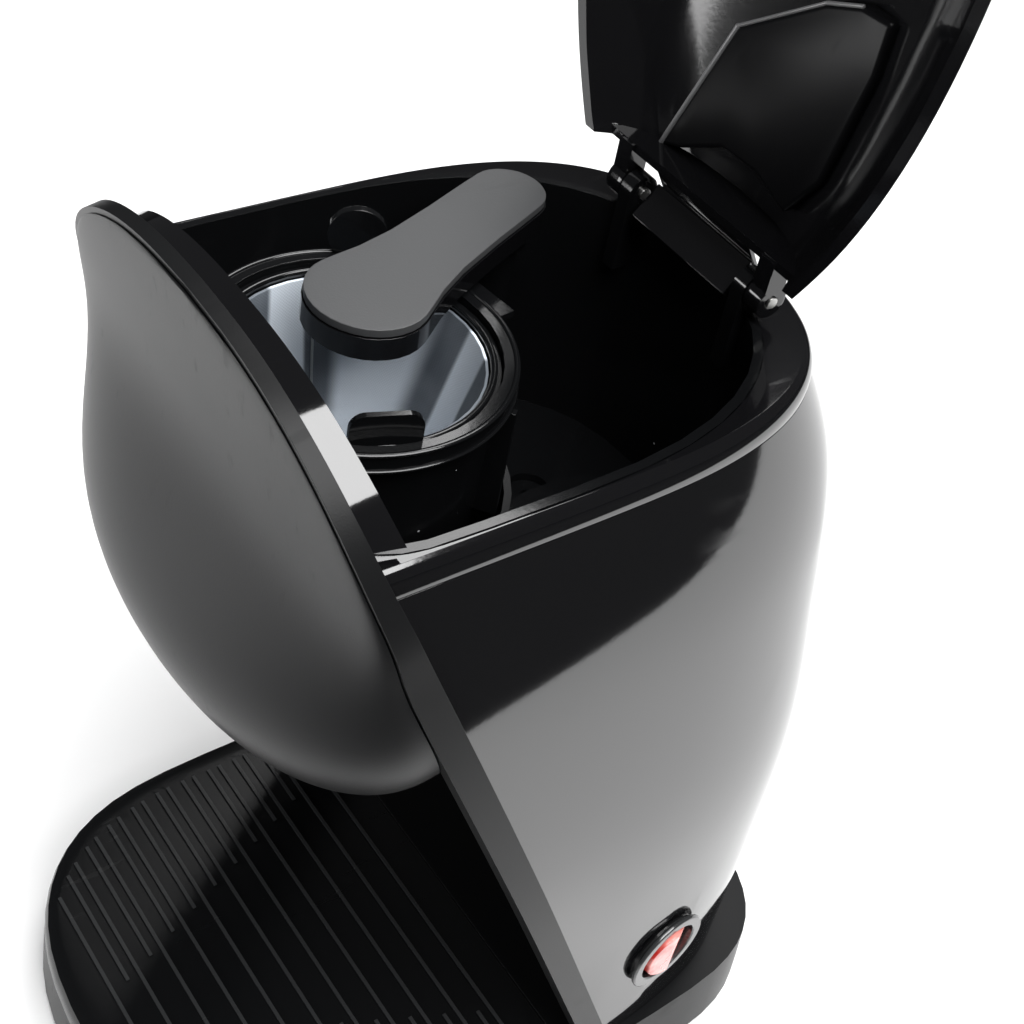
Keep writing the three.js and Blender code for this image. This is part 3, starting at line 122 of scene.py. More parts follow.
class Finish:
    """A material whose principled surface is reached by socket name."""

    def __init__(self, name, colour, roughness, metallic=0.0, **constants):
        self.colour = colour
        self.material = bpy.data.materials.new(name)
        self.material.use_nodes = True
        self.tree = self.material.node_tree
        self.surface = self.tree.nodes["Principled BSDF"]
        self.surface.inputs["Base Color"].default_value = (*colour, 1)
        self.surface.inputs["Roughness"].default_value = roughness
        self.surface.inputs["Metallic"].default_value = metallic
        for socket, value in constants.items():
            self.surface.inputs[socket.replace("_", " ")].default_value = value
        self.where = self.add("ShaderNodeTexCoord").outputs["Object"]

    def add(self, kind, settings=None, *values, **named):
        node = self.tree.nodes.new(kind)
        for setting, value in (settings or {}).items():
            setattr(node, setting, value)
        for key, value in [*enumerate(values), *named.items()]:
            socket = node.inputs[key]
            source = getattr(value, "socket", value)
            if isinstance(source, bpy.types.NodeSocket):
                self.tree.links.new(source, socket)
            else:
                socket.default_value = source
        return node

    def plug(self, name, value):
        self.tree.links.new(getattr(value, "socket", value), self.surface.inputs[name])

    def stretched(self, factors):
        node = self.add("ShaderNodeVectorMath", {"operation": "MULTIPLY"}, self.where, factors)
        return node.outputs[0]

    def noise(self, scale, detail=3.0, vector=None):
        """Soft random patches, `scale` of them to a metre."""
        place = vector or self.where
        node = self.add("ShaderNodeTexNoise", None, Vector=place, Scale=scale, Detail=detail)
        return Amount(self, node.outputs["Fac"])

    def cells(self, scale):
        """Distance to the nearest of scattered points, `scale` of them to a metre."""
        settings = {"feature": "F1"}
        node = self.add("ShaderNodeTexVoronoi", settings, Vector=self.where, Scale=scale)
        return Amount(self, node.outputs["Distance"])

    def axes(self):
        node = self.add("ShaderNodeSeparateXYZ", None, self.where)
        return [Amount(self, socket) for socket in node.outputs]

    def tint(self, mask, low, high):
        """A colour that goes from low to high as mask goes from 0 to 1."""
        node = self.add("ShaderNodeMix", {"data_type": "RGBA"})
        self.tree.links.new(mask.socket, node.inputs[0])
        for socket, colour in ((node.inputs[6], low), (node.inputs[7], high)):
            if isinstance(colour, bpy.types.NodeSocket):
                self.tree.links.new(colour, socket)
            else:
                socket.default_value = (*colour, 1)
        return node.outputs[2]

    def emboss(self, height, depth):
        """Raises the surface by height, in units of depth metres."""
        node = self.add("ShaderNodeBump", None, Height=height, Distance=depth, Strength=1.0)
        self.plug("Normal", node.outputs["Normal"])


def shade(colour, factor):
    return tuple(min(1.0, channel * factor) for channel in colour)


# %% [markdown]
# ## Moulded plastic
# Nearly the whole machine is black plastic, from polished casing to satin mouldings. One flat
# black would look like a hole in the picture, so each plastic is a small recipe: faint clouding
# in its colour, a mould grain that lifts the surface by a few microns, fine scuffs that dull the
# gloss, and on the tank and the lid a few settled dust specks. The plastics differ in roughness,
# in grain and in how strongly they mirror, which the index of refraction sets.


# %% Plastic finishes
MICRON = 0.001 * MM
DUST_COLOUR = (0.55, 0.56, 0.58)
SCUFF_STRETCH = (1.0, 0.12, 0.35)
SCUFF_DULLING = 0.06


def plastic(name, colour, roughness, uneven, grain, depth, dust=0.0, **constants):
    """A moulded plastic. The grain is in bumps to a metre, and its depth is in metres."""
    finish = Finish(name, colour, roughness, **constants)
    cloud = finish.noise(14.0)
    fine = finish.noise(grain, 2.0)
    scuffs = finish.noise(260.0, 4.0, finish.stretched(SCUFF_STRETCH)).between(0.62, 0.74)
    base = finish.tint(cloud, shade(colour, 0.8), shade(colour, 1.2))
    if dust:
        specks = (finish.cells(95.0) < dust) * (finish.noise(40.0) > 0.5)
        base = finish.tint(specks, base, DUST_COLOUR)
    finish.plug("Base Color", base)
    dulling = (cloud - 0.5) * uneven + (fine - 0.5) * (uneven * 0.4) + scuffs * SCUFF_DULLING
    finish.plug("Roughness", dulling + roughness)
    finish.emboss(fine, depth)
    return finish


# %% The casing's, tank's and lid's gloss
DEEP_BLACK = (0.004, 0.004, 0.0045)
COOL_BLACK = (0.004, 0.0042, 0.0046)
casing_gloss = plastic("casing gloss black", DEEP_BLACK, 0.06, 0.04, 900.0, 3 * MICRON, IOR=1.75)
tank_gloss = plastic("tank smooth black", COOL_BLACK, 0.12, 0.07, 700.0, 8 * MICRON, dust=0.03)
lid_gloss = plastic("lid inside black", DEEP_BLACK, 0.09, 0.07, 800.0, 6 * MICRON, dust=0.026)
print("three glosses made")

# %% Satin mouldings
FRONT_BLACK = (0.007, 0.0072, 0.0076)
BASE_BLACK = (0.005, 0.0052, 0.0056)
ARM_GREY = (0.055, 0.056, 0.058)
RING_GREY = (0.03, 0.031, 0.032)
PLATE_BLACK = (0.003, 0.003, 0.0034)
# Paler grey of the steam plate's rolled edges, a painted highlight.
EDGE_HIGHLIGHT_GREY = (0.09, 0.09, 0.092)
satin = plastic("satin dark moulding", FRONT_BLACK, 0.37, 0.08, 2600.0, 20 * MICRON, IOR=1.27)
arm_satin = plastic("arm cover satin", ARM_GREY, 0.40, 0.08, 2200.0, 20 * MICRON)
tray_satin = plastic("cup plate satin", COOL_BLACK, 0.24, 0.06, 2400.0, 10 * MICRON, IOR=1.33)
base_satin = plastic("base dark moulding", BASE_BLACK, 0.34, 0.08, 2600.0, 20 * MICRON, IOR=1.2)
bezel_satin = plastic("switch ring satin", RING_GREY, 0.16, 0.06, 1800.0, 6 * MICRON, IOR=1.7)
steam_black = plastic(
    "steam plate black", PLATE_BLACK, 0.3, 0.06, 1200.0, 6 * MICRON, dust=0.02, IOR=1.18
)
edge_highlight_satin = plastic("rolled edge painted highlight", EDGE_HIGHLIGHT_GREY, 0.3, 0.08, 1800.0, 10 * MICRON)
print("seven satins made")

# %% [markdown]
# ## Painted highlight on the cup plate's crests
# The crests of the plate's ridges are painted paler than the plate between them, a painted
# highlight along each ridge. The ridges are real geometry, and the paler tone follows them by
# height: it starts half a millimetre under the highest crest and is full a quarter of a
# millimetre under it.

# %% Crests
CREST_HIGHLIGHT_START = 0.5 * MM
CREST_HIGHLIGHT_FULL = 0.25 * MM
CREST_HIGHLIGHT_GREY = (0.026, 0.027, 0.028)
tray_height = tray_satin.axes()[2]
# Painted highlight: the crests' paler grey stands in for light caught on the ridges.
crest_highlight = tray_height.between(TRAY_TOP - CREST_HIGHLIGHT_START, TRAY_TOP - CREST_HIGHLIGHT_FULL)
plain_base = tray_satin.surface.inputs["Base Color"].links[0].from_socket
tray_satin.plug("Base Color", tray_satin.tint(crest_highlight, plain_base, CREST_HIGHLIGHT_GREY))
print("crests turn pale above", round(TRAY_TOP - CREST_HIGHLIGHT_START, 5))

# %% [markdown]
# ## Woven mesh, metal, rubber and the red rocker
# The filter is a fine cloth, blue-grey and a little shiny. A mesh of real threads would need
# millions of faces, so two crossed ripples, one round the cup and one down it, give the weave,
# and broad upright bands of painted highlight and painted shade stand in for the uneven sheen
# of thin mesh. The metals have drawn-out streaks, the rubbers have grain, and the rocker is a
# clear coat over a cloudy red, with a painted highlight on its rear half.


# %% Other finishes
THREAD_PITCH = 0.8 * MM
HIGHLIGHT_BAND_LEAN = 260.0  # degrees that a band turns for each metre of height
CLOTH_PAINTED_SHADE = (0.035, 0.045, 0.058)
CLOTH_PAINTED_HIGHLIGHT = (0.80, 0.87, 0.95)
THREAD_GAP = (0.05, 0.06, 0.075)


def woven_mesh():
    """Metal cloth round the filter's axis. Its painted highlight bands are placed by angle, in
    degrees.
    """
    finish = Finish("filter cloth", (0.36, 0.43, 0.51), 0.34, metallic=0.1)
    x, y, z = finish.axes()
    turn = (y - AXIS.y).math("ARCTAN2", x - AXIS.x) * (180.0 / math.pi)
    lean = turn + (z - RING_TOP) * HIGHLIGHT_BAND_LEAN
    warp = (turn * 4.0).math("SINE")
    weft = (z * (2 * math.pi / THREAD_PITCH)).math("SINE")
    weave = warp * weft * 0.5 + 0.5
    # The bands are painted reflection: painted highlights and, between them, painted shade, fixed
    # on the cloth by angle.
    broad_painted_highlight = lean.between(98.0, 112.0) * (1 - turn.between(150.0, 160.0))
    thin_painted_highlight = lean.between(62.0, 66.0) * (1 - lean.between(82.0, 86.0))
    seam_painted_highlight = (1 - lean.between(-172.0, -168.0)) + turn.between(171.0, 174.0)
    painted_highlight = broad_painted_highlight * 0.8 + thin_painted_highlight * 0.95 + seam_painted_highlight
    cloud = finish.noise(60.0, 2.0)
    painted_sheen = painted_highlight + (cloud - 0.5) * 0.25 + 0.12
    painted_sheen = painted_sheen.math("MINIMUM", 1.0).math("MAXIMUM", 0.0)
    cloth = finish.tint(painted_sheen, CLOTH_PAINTED_SHADE, CLOTH_PAINTED_HIGHLIGHT)
    finish.plug("Base Color", finish.tint(weave * 0.15, cloth, THREAD_GAP))
    finish.plug("Roughness", cloud * 0.2 + 0.30)
    finish.emboss(weave, 60 * MICRON)
    return finish


def bare_metal(name, colour, roughness, streak):
    finish = Finish(name, colour, roughness, metallic=1.0)
    lines = finish.noise(500.0, 3.0, finish.stretched(streak))
    finish.plug("Base Color", finish.tint(lines, shade(colour, 0.8), shade(colour, 1.15)))
    finish.plug("Roughness", lines * 0.25 + roughness)
    finish.emboss(lines, 20 * MICRON)
    return finish


def rubber(name, colour, grain):
    finish = Finish(name, colour, 0.78)
    fine = finish.noise(grain, 4.0)
    finish.plug("Base Color", finish.tint(fine, shade(colour, 0.7), shade(colour, 1.4)))
    finish.plug("Roughness", fine * 0.2 + 0.62)
    finish.emboss(fine, 60 * MICRON)
    return finish


ROCKER_DEEP = (0.40, 0.018, 0.014)
ROCKER_PAINTED_HIGHLIGHT = (0.78, 0.12, 0.09)
ROCKER_PINK = (0.85, 0.30, 0.26)


def red_plastic_painted_highlight():
    """Clear red plastic, deep red on the half towards the front and a painted highlight on the
    other.
    """
    finish = Finish("rocker red", (0.62, 0.05, 0.035), 0.16, Coat_Weight=0.6, Coat_Roughness=0.05)
    y = finish.axes()[1]
    depth = finish.noise(90.0)
    # Painted highlight: the rear half is painted bright, standing in for the reflection on that
    # facet.
    rear_painted_highlight = ((y - middle("switch_rocker").y) * 160.0).between(-1.0, 1.2)
    base = finish.tint(rear_painted_highlight, ROCKER_DEEP, ROCKER_PAINTED_HIGHLIGHT)
    finish.plug("Base Color", finish.tint(depth.between(0.45, 0.75), base, ROCKER_PINK))
    finish.plug("Roughness", depth * 0.12 + 0.10)
    finish.emboss(depth, 20 * MICRON)
    return finish


filter_cloth = woven_mesh()
steel = bare_metal("zinc steel", (0.62, 0.62, 0.60), 0.22, (1.0, 1.0, 0.1))
aluminium = bare_metal("cast aluminium", (0.66, 0.67, 0.68), 0.38, (1.0, 1.0, 1.0))
foot_rubber = rubber("foot rubber", (0.03, 0.03, 0.03), 1400.0)
hose_silicone = rubber("hose silicone", (0.62, 0.63, 0.60), 300.0)
rocker_red = red_plastic_painted_highlight()
print("metals, rubbers and rocker made")

# %% [markdown]
# ## Recasting a CAD node
# A moulding never has a knife edge. Each CAD solid that shows is copied, its doubled points are
# merged and its flat faces are joined. A curved casing is then turned to four-sided faces, its
# sharp edges are creased and it is subdivided, so that it mirrors without facets. Last, a Bevel
# modifier rolls the edges. Drawing each piece afresh would risk a fault in its fit, and this
# keeps the CAD's shape.


# %% Recasting
def pick(piece):
    bpy.ops.object.select_all(action="DESELECT")
    piece.select_set(True)
    bpy.context.view_layer.objects.active = piece


def edit(piece, mode="FACE"):
    """Opens a piece in edit mode with nothing selected."""
    pick(piece)
    bpy.ops.object.mode_set(mode="EDIT")
    bpy.ops.mesh.select_mode(type=mode)
    bpy.ops.mesh.select_all(action="DESELECT")


def modify(piece, kind, **settings):
    pick(piece)
    bpy.ops.object.modifier_add(type=kind)
    modifier = piece.modifiers[-1]
    for setting, value in settings.items():
        setattr(modifier, setting, value)
    bpy.ops.object.modifier_apply(modifier=modifier.name)


def smooth(piece, angle=35):
    pick(piece)
    bpy.ops.object.shade_smooth_by_angle(angle=math.radians(angle))


def dress(piece, finish, body, slot, *nodes):
    """Gives a finished piece its material and its body, and hides the nodes it stands for. The
    slot is not used.
    """
    piece.data.materials.clear()
    piece.data.materials.append(finish.material)
    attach(piece, body)
    if nodes:
        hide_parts(*nodes)
    return piece


MERGE = 0.02 * MM
SLIVER = 0.01 * MM
SHARP = math.radians(34)
FLAT = math.radians(0.4)
QUAD_BEND = math.radians(25)
QUAD_SKEW = math.radians(60)


def recast(node, roll=0.5, levels=0):
    """A copy of a CAD node with edges rolled by roll millimetres, subdivided levels times."""
    source = frame["nodes"][node]
    piece = bpy.data.objects.new(node + "_cast", source.data.copy())
    scene.collection.objects.link(piece)
    edit(piece, "EDGE")
    bpy.ops.mesh.select_all(action="SELECT")
    bpy.ops.mesh.remove_doubles(threshold=MERGE)
    bpy.ops.mesh.dissolve_degenerate(threshold=SLIVER)
    bpy.ops.mesh.dissolve_limited(angle_limit=FLAT)
    if levels:
        bpy.ops.mesh.quads_convert_to_tris()
        bpy.ops.mesh.tris_convert_to_quads(face_threshold=QUAD_BEND, shape_threshold=QUAD_SKEW)
        bpy.ops.mesh.select_all(action="DESELECT")
        bpy.ops.mesh.edges_select_sharp(sharpness=SHARP)
        bpy.ops.transform.edge_crease(value=1.0)
    bpy.ops.object.mode_set(mode="OBJECT")
    if levels:
        modify(piece, "SUBSURF", levels=levels, render_levels=levels)
    modify(piece, "BEVEL", width=roll * MM, segments=2, limit_method="ANGLE", angle_limit=SHARP)
    smooth(piece)
    modify(piece, "WEIGHTED_NORMAL", keep_sharp=True)
    return piece


# %% [markdown]
# ## Casing, tank and moving pieces
# The table gives each recast node its body, slot, finish, rolled edge in millimetres and, for a
# curved piece, how many times it is subdivided. The front frame has the softest edges, and small
# steel pieces have the tightest.

# %% Recast pieces
RECAST = [
    ("body_shell", "machine", "gloss_black", casing_gloss, 0.5, 2),
    ("front_frame", "machine", "satin_black", satin, 1.2, 1),
    ("front_dome", "machine", "satin_black", satin, 0.7, 2),
    ("shield_liner", "machine", "gloss_black", casing_gloss, 0.4, 1),
    ("bay_panel", "machine", "satin_black", satin, 0.6),
    ("base_housing", "machine", "satin_black", base_satin, 0.8, 1),
    ("base_cover", "machine", "satin_black", base_satin, 0.4),
    ("tank", "machine", "tank_black", tank_gloss, 0.5),
    ("tank_collar", "machine", "gloss_black", casing_gloss, 0.9, 2),
    ("outlet_spout", "machine", "tank_black", tank_gloss, 0.4),
    ("bracket", "machine", "tank_black", tank_gloss, 0.4),
    ("hinge_baffle", "machine", "gloss_black", casing_gloss, 0.4),
    ("switch_bezel", "machine", "satin_black", bezel_satin, 0.6),
    ("bracket_screw", "machine", "screw_steel", steel, 0.25),
    ("hinge_pin_left", "machine", "screw_steel", steel, 0.2),
    ("hinge_pin_right", "machine", "screw_steel", steel, 0.2),
    ("riser_pipe", "machine", "tank_black", tank_gloss, 0.3),
    ("cord_gland", "machine", "foot_rubber", foot_rubber, 0.5),
    ("cup_tray", "tray", "satin_black", tray_satin, 0.35, 1),
    ("filter_holder", "holder", "gloss_black", tank_gloss, 0.5),
    ("holder_grip", "holder", "gloss_black", tank_gloss, 0.5),
    ("filter_frame", "filter", "gloss_black", tank_gloss, 0.45),
    ("filter_mesh", "filter", "filter_mesh", filter_cloth, 0.15),
    ("water_arm", "arm", "gloss_black", casing_gloss, 0.6, 1),
    ("water_arm_cover", "arm", "cover_satin", arm_satin, 0.9, 1),
    ("lid_shell", "lid", "gloss_black", lid_gloss, 0.6, 2),
    ("switch_rocker", "rocker", "rocker_red", rocker_red, 0.5),
]
pieces = {}
for node, body, slot, finish, roll, *levels in RECAST:
    pieces[node] = dress(recast(node, roll, *levels), finish, body, slot, node)
for index in range(1, 5):
    foot = f"foot_{index}"
    pieces[foot] = dress(recast(foot, 0.8), foot_rubber, "machine", "foot_rubber", foot)
    screw = f"base_screw_{index}"
    pieces[screw] = dress(recast(screw, 0.2), steel, "machine", "screw_steel", screw)
print(len(pieces), "pieces recast")

# %% [markdown]
# ## Small mouldings
# These are the shapes that a hand would find on the real machine and a simple solid leaves out.
# Each starts as a primitive, is shaped in edit mode, and rides on the body that it is part of.


# %% Helpers for new pieces
def settle(piece, name):
    """Names a piece, moves its place into its mesh and turns its faces outwards."""
    piece.name = name
    bpy.ops.object.mode_set(mode="OBJECT")
    pick(piece)
    bpy.ops.object.transform_apply(location=True, rotation=True, scale=True)
    edit(piece)
    bpy.ops.mesh.select_all(action="SELECT")
    bpy.ops.mesh.remove_doubles(threshold=0.01 * MM)
    bpy.ops.mesh.normals_make_consistent(inside=False)
    bpy.ops.object.mode_set(mode="OBJECT")
    return piece


ROLL_STEPS = 3
CORNER = math.radians(25)


def plate(name, corners, thickness, roll):
    """A moulded plate from its corners, the way it is thick and its edges' roll in mm."""
    bpy.ops.mesh.primitive_circle_add(vertices=len(corners), radius=0.01, fill_type="NGON")
    piece = bpy.context.active_object
    for point, corner in zip(piece.data.vertices, corners):
        point.co = corner
    edit(piece)
    bpy.ops.mesh.select_all(action="SELECT")
    bpy.ops.mesh.extrude_region_move(TRANSFORM_OT_translate={"value": thickness})
    settle(piece, name)
    rolled = {"width": roll * MM, "segments": ROLL_STEPS}
    modify(piece, "BEVEL", **rolled, limit_method="ANGLE", angle_limit=CORNER)
    smooth(piece)
    return piece


# %% [markdown]
# ## Steam plate inside the lid
# A raised plate with one slanting edge stands inside the lid and turns the steam back. It could
# be cut from the lid's own faces, but a separate plate keeps its edges crisp. It is drawn as an
# outline at its corners, leaning a little with the lid's skin, and extruded towards that skin.

# %% Steam plate
PLATE_CORNERS = (
    (-23.3, 15.7),
    (-16.5, 18.2),
    (-4.0, 25.5),
    (8.0, 26.0),
    (20.0, 22.0),
    (27.0, 34.0),
    (30.0, 62.0),
    (29.0, 74.0),
    (20.0, 73.5),
    (10.4, 69.6),
    (-11.7, 53.1),
)
PLATE_FOOT = 57.5 * MM
PLATE_FOOT_UP = 14.0
PLATE_LEAN = 0.1
PLATE_DEPTH = 4.5 * MM
PLATE_ROLL = 1.3
lid_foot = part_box("lid_shell")[0].z


def on_plate(across, up, sunk=0.0):
    """A point on the plate's leaning face, or sunk under it, from millimetres."""
    deep = PLATE_FOOT + (PLATE_LEAN * (up - PLATE_FOOT_UP) + sunk) * MM
    return Vector((across * MM, deep, lid_foot + up * MM))


plate_outline = [on_plate(*corner) for corner in PLATE_CORNERS]
steam_plate = plate("steam_plate", plate_outline, (0, PLATE_DEPTH, 0), PLATE_ROLL)
dress(steam_plate, steam_black, "lid", "gloss_black", "lid_liner")
print("steam plate", [round(v, 3) for v in steam_plate.dimensions])

# %% [markdown]
# ## Rolled edges of the steam plate
# The plate's slanting edge and its upper edges are rolled over, and the roll catches light while
# the plate stays black. A bevel alone is too thin to show, so each edge gets a round bead of its
# own, sunk to half its thickness, in a paler grey that is a painted highlight on the roll. The
# bead is a cylinder whose ends are rounded with a bevel.


# %% Rolled edges
EDGE_SUNK = 0.5
SLANT_RADIUS = 0.75 * MM
UPPER_RADIUS = 0.5 * MM
ROD_SIDES = 20
END_ROUNDING = 0.7  # of the rod's radius


def rod(name, start, end, radius):
    """A round bead from start to end, with rounded ends."""
    along = end - start
    long = along.length + radius
    bpy.ops.mesh.primitive_cylinder_add(vertices=ROD_SIDES, radius=radius, depth=long)
    piece = bpy.context.active_object
    piece.location = (start + end) / 2
    piece.rotation_euler = along.to_track_quat("Z", "Y").to_euler()
    settle(piece, name)
    rounded = {"width": radius * END_ROUNDING, "segments": 4}
    modify(piece, "BEVEL", **rounded, limit_method="ANGLE", angle_limit=math.radians(60))
    smooth(piece, 60)
    return piece


edge_line = (PLATE_CORNERS[0], *reversed(PLATE_CORNERS[-3:]))
# The beads' paler finish is a painted highlight on the plate's rolled edges.
for index, (start, end) in enumerate(zip(edge_line, edge_line[1:]), 1):
    radius = SLANT_RADIUS if index == 1 else UPPER_RADIUS
    ends = on_plate(*start, EDGE_SUNK), on_plate(*end, EDGE_SUNK)
    dress(rod(f"steam_plate_edge_{index}", *ends, radius), edge_highlight_satin, "lid", "cover_satin")
print(len(edge_line) - 1, "rolled edges")

# %% [markdown]
# ## Hinge cover
# Between the two hinge arms the lid carries a sloping cover, which hides most of the slot that
# would otherwise show between lid and tank. It is a plain plate tilted between two lines beside
# the hinge's axis, and it swings with the lid.

# %% Hinge cover
COVER_HALF = 17.5 * MM
COVER_LOW = (5.6 * MM, -1.0 * MM)  # behind and above the hinge's axis
COVER_HIGH = (-1.6 * MM, 11.0 * MM)
COVER_THICKNESS = (0, 1.2 * MM, 0.8 * MM)
low_edge, high_edge = [
    [(side * COVER_HALF, HINGE.y + behind, HINGE.z + above) for side in (-1, 1)]
    for behind, above in (COVER_LOW, COVER_HIGH)
]
hinge_cover = plate("hinge_cover", [*low_edge, *reversed(high_edge)], COVER_THICKNESS, 0.35)
dress(hinge_cover, casing_gloss, "lid", "gloss_black")
print("hinge cover", [round(v, 3) for v in hinge_cover.dimensions])

# %% [markdown]
# ## Beads on the holder and the filter
# Three thin rolled beads, two round the holder's ring and skirt and one round the filter's rim,
# catch the light there. Each is a torus flattened in edit mode to a moulded bead's section. The
# upper bead sits low enough that the holder can be lifted without touching the arm above it.


# %% Beads
BEAD_FLATTENING = 0.7
BEADS = (  # name, radius, thickness and height above the filter's rim in mm, body
    ("holder_bead", 35.7, 0.75, 2.5, "holder"),
    ("holder_skirt_bead", 36.1, 0.6, -1.6, "holder"),
    ("filter_bead", 30.9, 0.7, 1.0, "filter"),
)
for name, radius, thickness, above_rim, body in BEADS:
    bpy.ops.mesh.primitive_torus_add(
        major_radius=radius * MM,
        minor_radius=thickness * MM,
        major_segments=96,
        minor_segments=10,
    )
    bead = bpy.context.active_object
    edit(bead)
    bpy.ops.mesh.select_all(action="SELECT")
    bpy.ops.transform.resize(value=(1, 1, BEAD_FLATTENING))
    bpy.ops.object.mode_set(mode="OBJECT")
    bead.location = (AXIS.x, AXIS.y, RING_TOP + above_rim * MM)
    settle(bead, name)
    smooth(bead, 60)
    dress(bead, tank_gloss, body, "gloss_black")
print(len(BEADS), "beads made; filter rim at", round(RING_TOP, 4))

# %% [markdown]
# ## Seam of the filter cloth
# The cloth is a strip closed by one seam, which runs down the left of the cup as a fine ridge.
# It is a narrow plate along the cup's slope, from rim to foot, because a line in the material
# would not stand proud of the cloth.

# %% Seam
SEAM_AT = math.radians(168)
SEAM_HALF = 0.3 * MM
SEAM_PROUD = 0.5 * MM
SEAM_TOP_RADIUS = 28.9 * MM
SEAM_FOOT_RADIUS = 20.2 * MM
SEAM_FOOT_UP = 1.4 * MM
seam_out = Vector((math.cos(SEAM_AT), math.sin(SEAM_AT), 0))
seam_side = Vector((-seam_out.y, seam_out.x, 0)) * SEAM_HALF
mesh_low, mesh_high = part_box("filter_mesh")
seam_top = Vector((AXIS.x, AXIS.y, mesh_high.z)) + seam_out * SEAM_TOP_RADIUS
seam_foot = Vector((AXIS.x, AXIS.y, mesh_low.z + SEAM_FOOT_UP)) + seam_out * SEAM_FOOT_RADIUS
seam_corners = (
    seam_top - seam_side,
    seam_foot - seam_side,
    seam_foot + seam_side,
    seam_top + seam_side,
)
seam = plate("filter_seam", seam_corners, tuple(-seam_out * SEAM_PROUD), 0.15)
dress(seam, steel, "filter", "filter_mesh")
print("seam", round((seam_top - seam_foot).length, 4), "m long")

# %% [markdown]
# ## Parts out of sight
# The heater, its hoses and the switch's body are never seen with the casing on, so their CAD
# shapes stay, with the finish of what they are made of.

# %% Hidden parts
HIDDEN = {
    "heater": aluminium,
    "thermostat": steel,
    "thermal_fuse": hose_silicone,
    "check_valve": tank_gloss,
    "inlet_hose": hose_silicone,
    "outlet_hose": hose_silicone,
    "switch_body": satin,
}
for node, finish in HIDDEN.items():
    materials = frame["nodes"][node].data.materials
    materials.clear()
    materials.append(finish.material)
print(len(HIDDEN), "hidden parts finished")

# %% [markdown]
# ## Floor, light and camera
# A polished black casing shows its surroundings more than itself, so what it mirrors is built
# with care: a pale floor, a dim room, broad soft lamps, and one black card that lies round the
# machine and turns the far reflections dark. Only reflections see the card, and the camera sees
# the room as pale.

# %% Floor
FLOOR_SIZE = 12.0
bpy.ops.mesh.primitive_plane_add(size=FLOOR_SIZE, location=(0, 0, 0))
floor = bpy.context.active_object
floor.name = "pale_floor"
floor_finish = Finish("pale floor", (0.92, 0.92, 0.92), 0.9)
floor_finish.plug("Roughness", floor_finish.noise(6.0) * 0.1 + 0.85)
floor.data.materials.append(floor_finish.material)
print("floor", FLOOR_SIZE, "m wide")

# %% Room
DIM_ROOM = (0.05, 0.05, 0.052, 1)
PALE_ROOM = (1.1, 1.1, 1.1, 1)
world = bpy.data.worlds.new("studio")
world.use_nodes = True
room = world.node_tree
sight = room.nodes.new("ShaderNodeLightPath")
room_tone = room.nodes.new("ShaderNodeMix")
room_tone.data_type = "RGBA"
room_tone.inputs[6].default_value = DIM_ROOM
room_tone.inputs[7].default_value = PALE_ROOM
room.links.new(sight.outputs["Is Camera Ray"], room_tone.inputs[0])
room.links.new(room_tone.outputs[2], room.nodes["Background"].inputs["Color"])
scene.world = world
print("room made")


# %% Black card
CARD_MIDDLE = Vector((-0.20, 0.35, 0.0015))
CARD_HOLE = (0.95, 0.55)
CARD_REACH = 12.0
CARD_TURN = math.radians(65)
bpy.ops.mesh.primitive_circle_add(vertices=96, radius=1.0, location=(0, 0, 0))
card = bpy.context.active_object
card.name = "black_card"
edit(card, "EDGE")
bpy.ops.mesh.select_all(action="SELECT")
bpy.ops.transform.resize(value=(*CARD_HOLE, 1))
bpy.ops.mesh.extrude_edges_move()
bpy.ops.transform.resize(value=(CARD_REACH, CARD_REACH, 1))
bpy.ops.object.mode_set(mode="OBJECT")
card.data.transform(Matrix.Translation(CARD_MIDDLE) @ Matrix.Rotation(CARD_TURN, 4, "Z"))
card_finish = Finish("black card", (0.004, 0.004, 0.004), 1.0)
card_finish.plug("Roughness", card_finish.noise(4.0) * 0.1 + 0.9)
card.data.materials.append(card_finish.material)
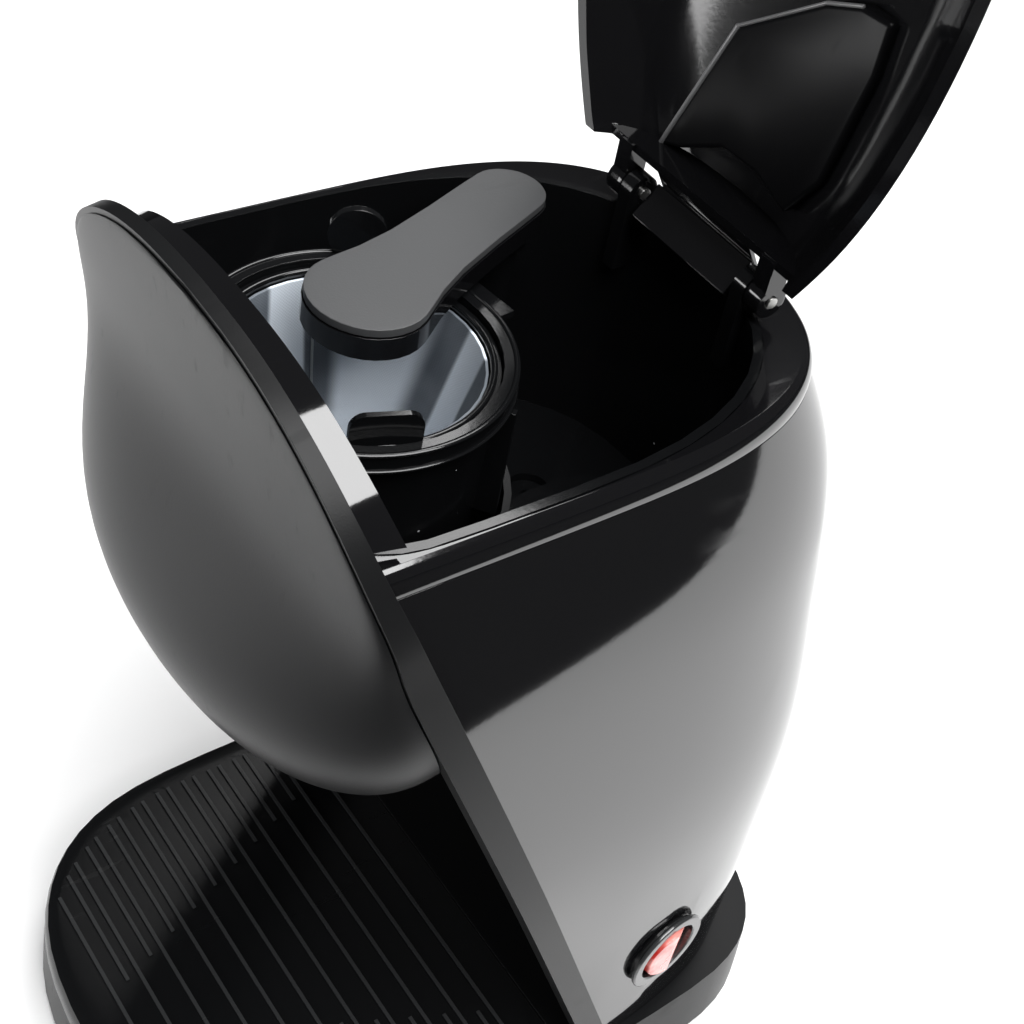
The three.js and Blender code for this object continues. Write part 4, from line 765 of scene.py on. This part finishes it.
for sense in ("camera", "diffuse", "shadow", "transmission"):
    setattr(card, "visible_" + sense, False)
print("black card with", len(card.data.polygons), "faces")

# %% Lamps
LAMP_AIM = Vector((0.0, 0.0, RING_TOP))
FRONT_AIM = Vector((0.0, -0.08, 0.1))
LAMPS = (  # name, place, aim, size in metres, power in watts
    ("lamp_top", (1.1, 0.1, 2.6), LAMP_AIM, 2.2, 140.0),
    ("lamp_rear", (-0.9, 1.3, 2.2), LAMP_AIM, 1.2, 28.0),
    ("lamp_front", (-0.45, -1.1, 0.2), FRONT_AIM, 0.7, 14.0),
)
for name, place, aim, size, power in LAMPS:
    bpy.ops.object.light_add(type="AREA", location=place)
    lamp = bpy.context.active_object
    lamp.name = name
    lamp.data.shape = "SQUARE"
    lamp.data.size = size
    lamp.data.energy = power
    lamp.rotation_euler = (aim - Vector(place)).to_track_quat("-Z", "Y").to_euler()
scene.view_settings.view_transform = "Standard"
print(len(LAMPS), "lamps")

# %% Camera
VIEW_AZIMUTH = math.radians(46.5)
VIEW_HEIGHT = math.radians(42.2)
VIEW_ROLL = math.radians(12.4)
CAMERA_AT = Vector((0.2406, -0.2149, 0.4908))
LENS_LENGTH = 59.77
FILM_WIDTH = 36.0
back = Vector(
    (
        math.sin(VIEW_AZIMUTH) * math.cos(VIEW_HEIGHT),
        -math.cos(VIEW_AZIMUTH) * math.cos(VIEW_HEIGHT),
        math.sin(VIEW_HEIGHT),
    )
)
level = Vector((math.cos(VIEW_AZIMUTH), math.sin(VIEW_AZIMUTH), 0.0))
upright = back.cross(level)
right = math.cos(VIEW_ROLL) * level + math.sin(VIEW_ROLL) * upright
above = -math.sin(VIEW_ROLL) * level + math.cos(VIEW_ROLL) * upright
bpy.ops.object.camera_add()
camera = bpy.context.active_object
turned = Matrix((right, above, back)).transposed().to_4x4()
camera.matrix_world = Matrix.Translation(CAMERA_AT) @ turned
camera.data.lens = LENS_LENGTH
camera.data.sensor_width = FILM_WIDTH
camera.data.clip_start = 0.01
scene.camera = camera
print("camera", [round(v, 3) for v in camera.matrix_world.translation])
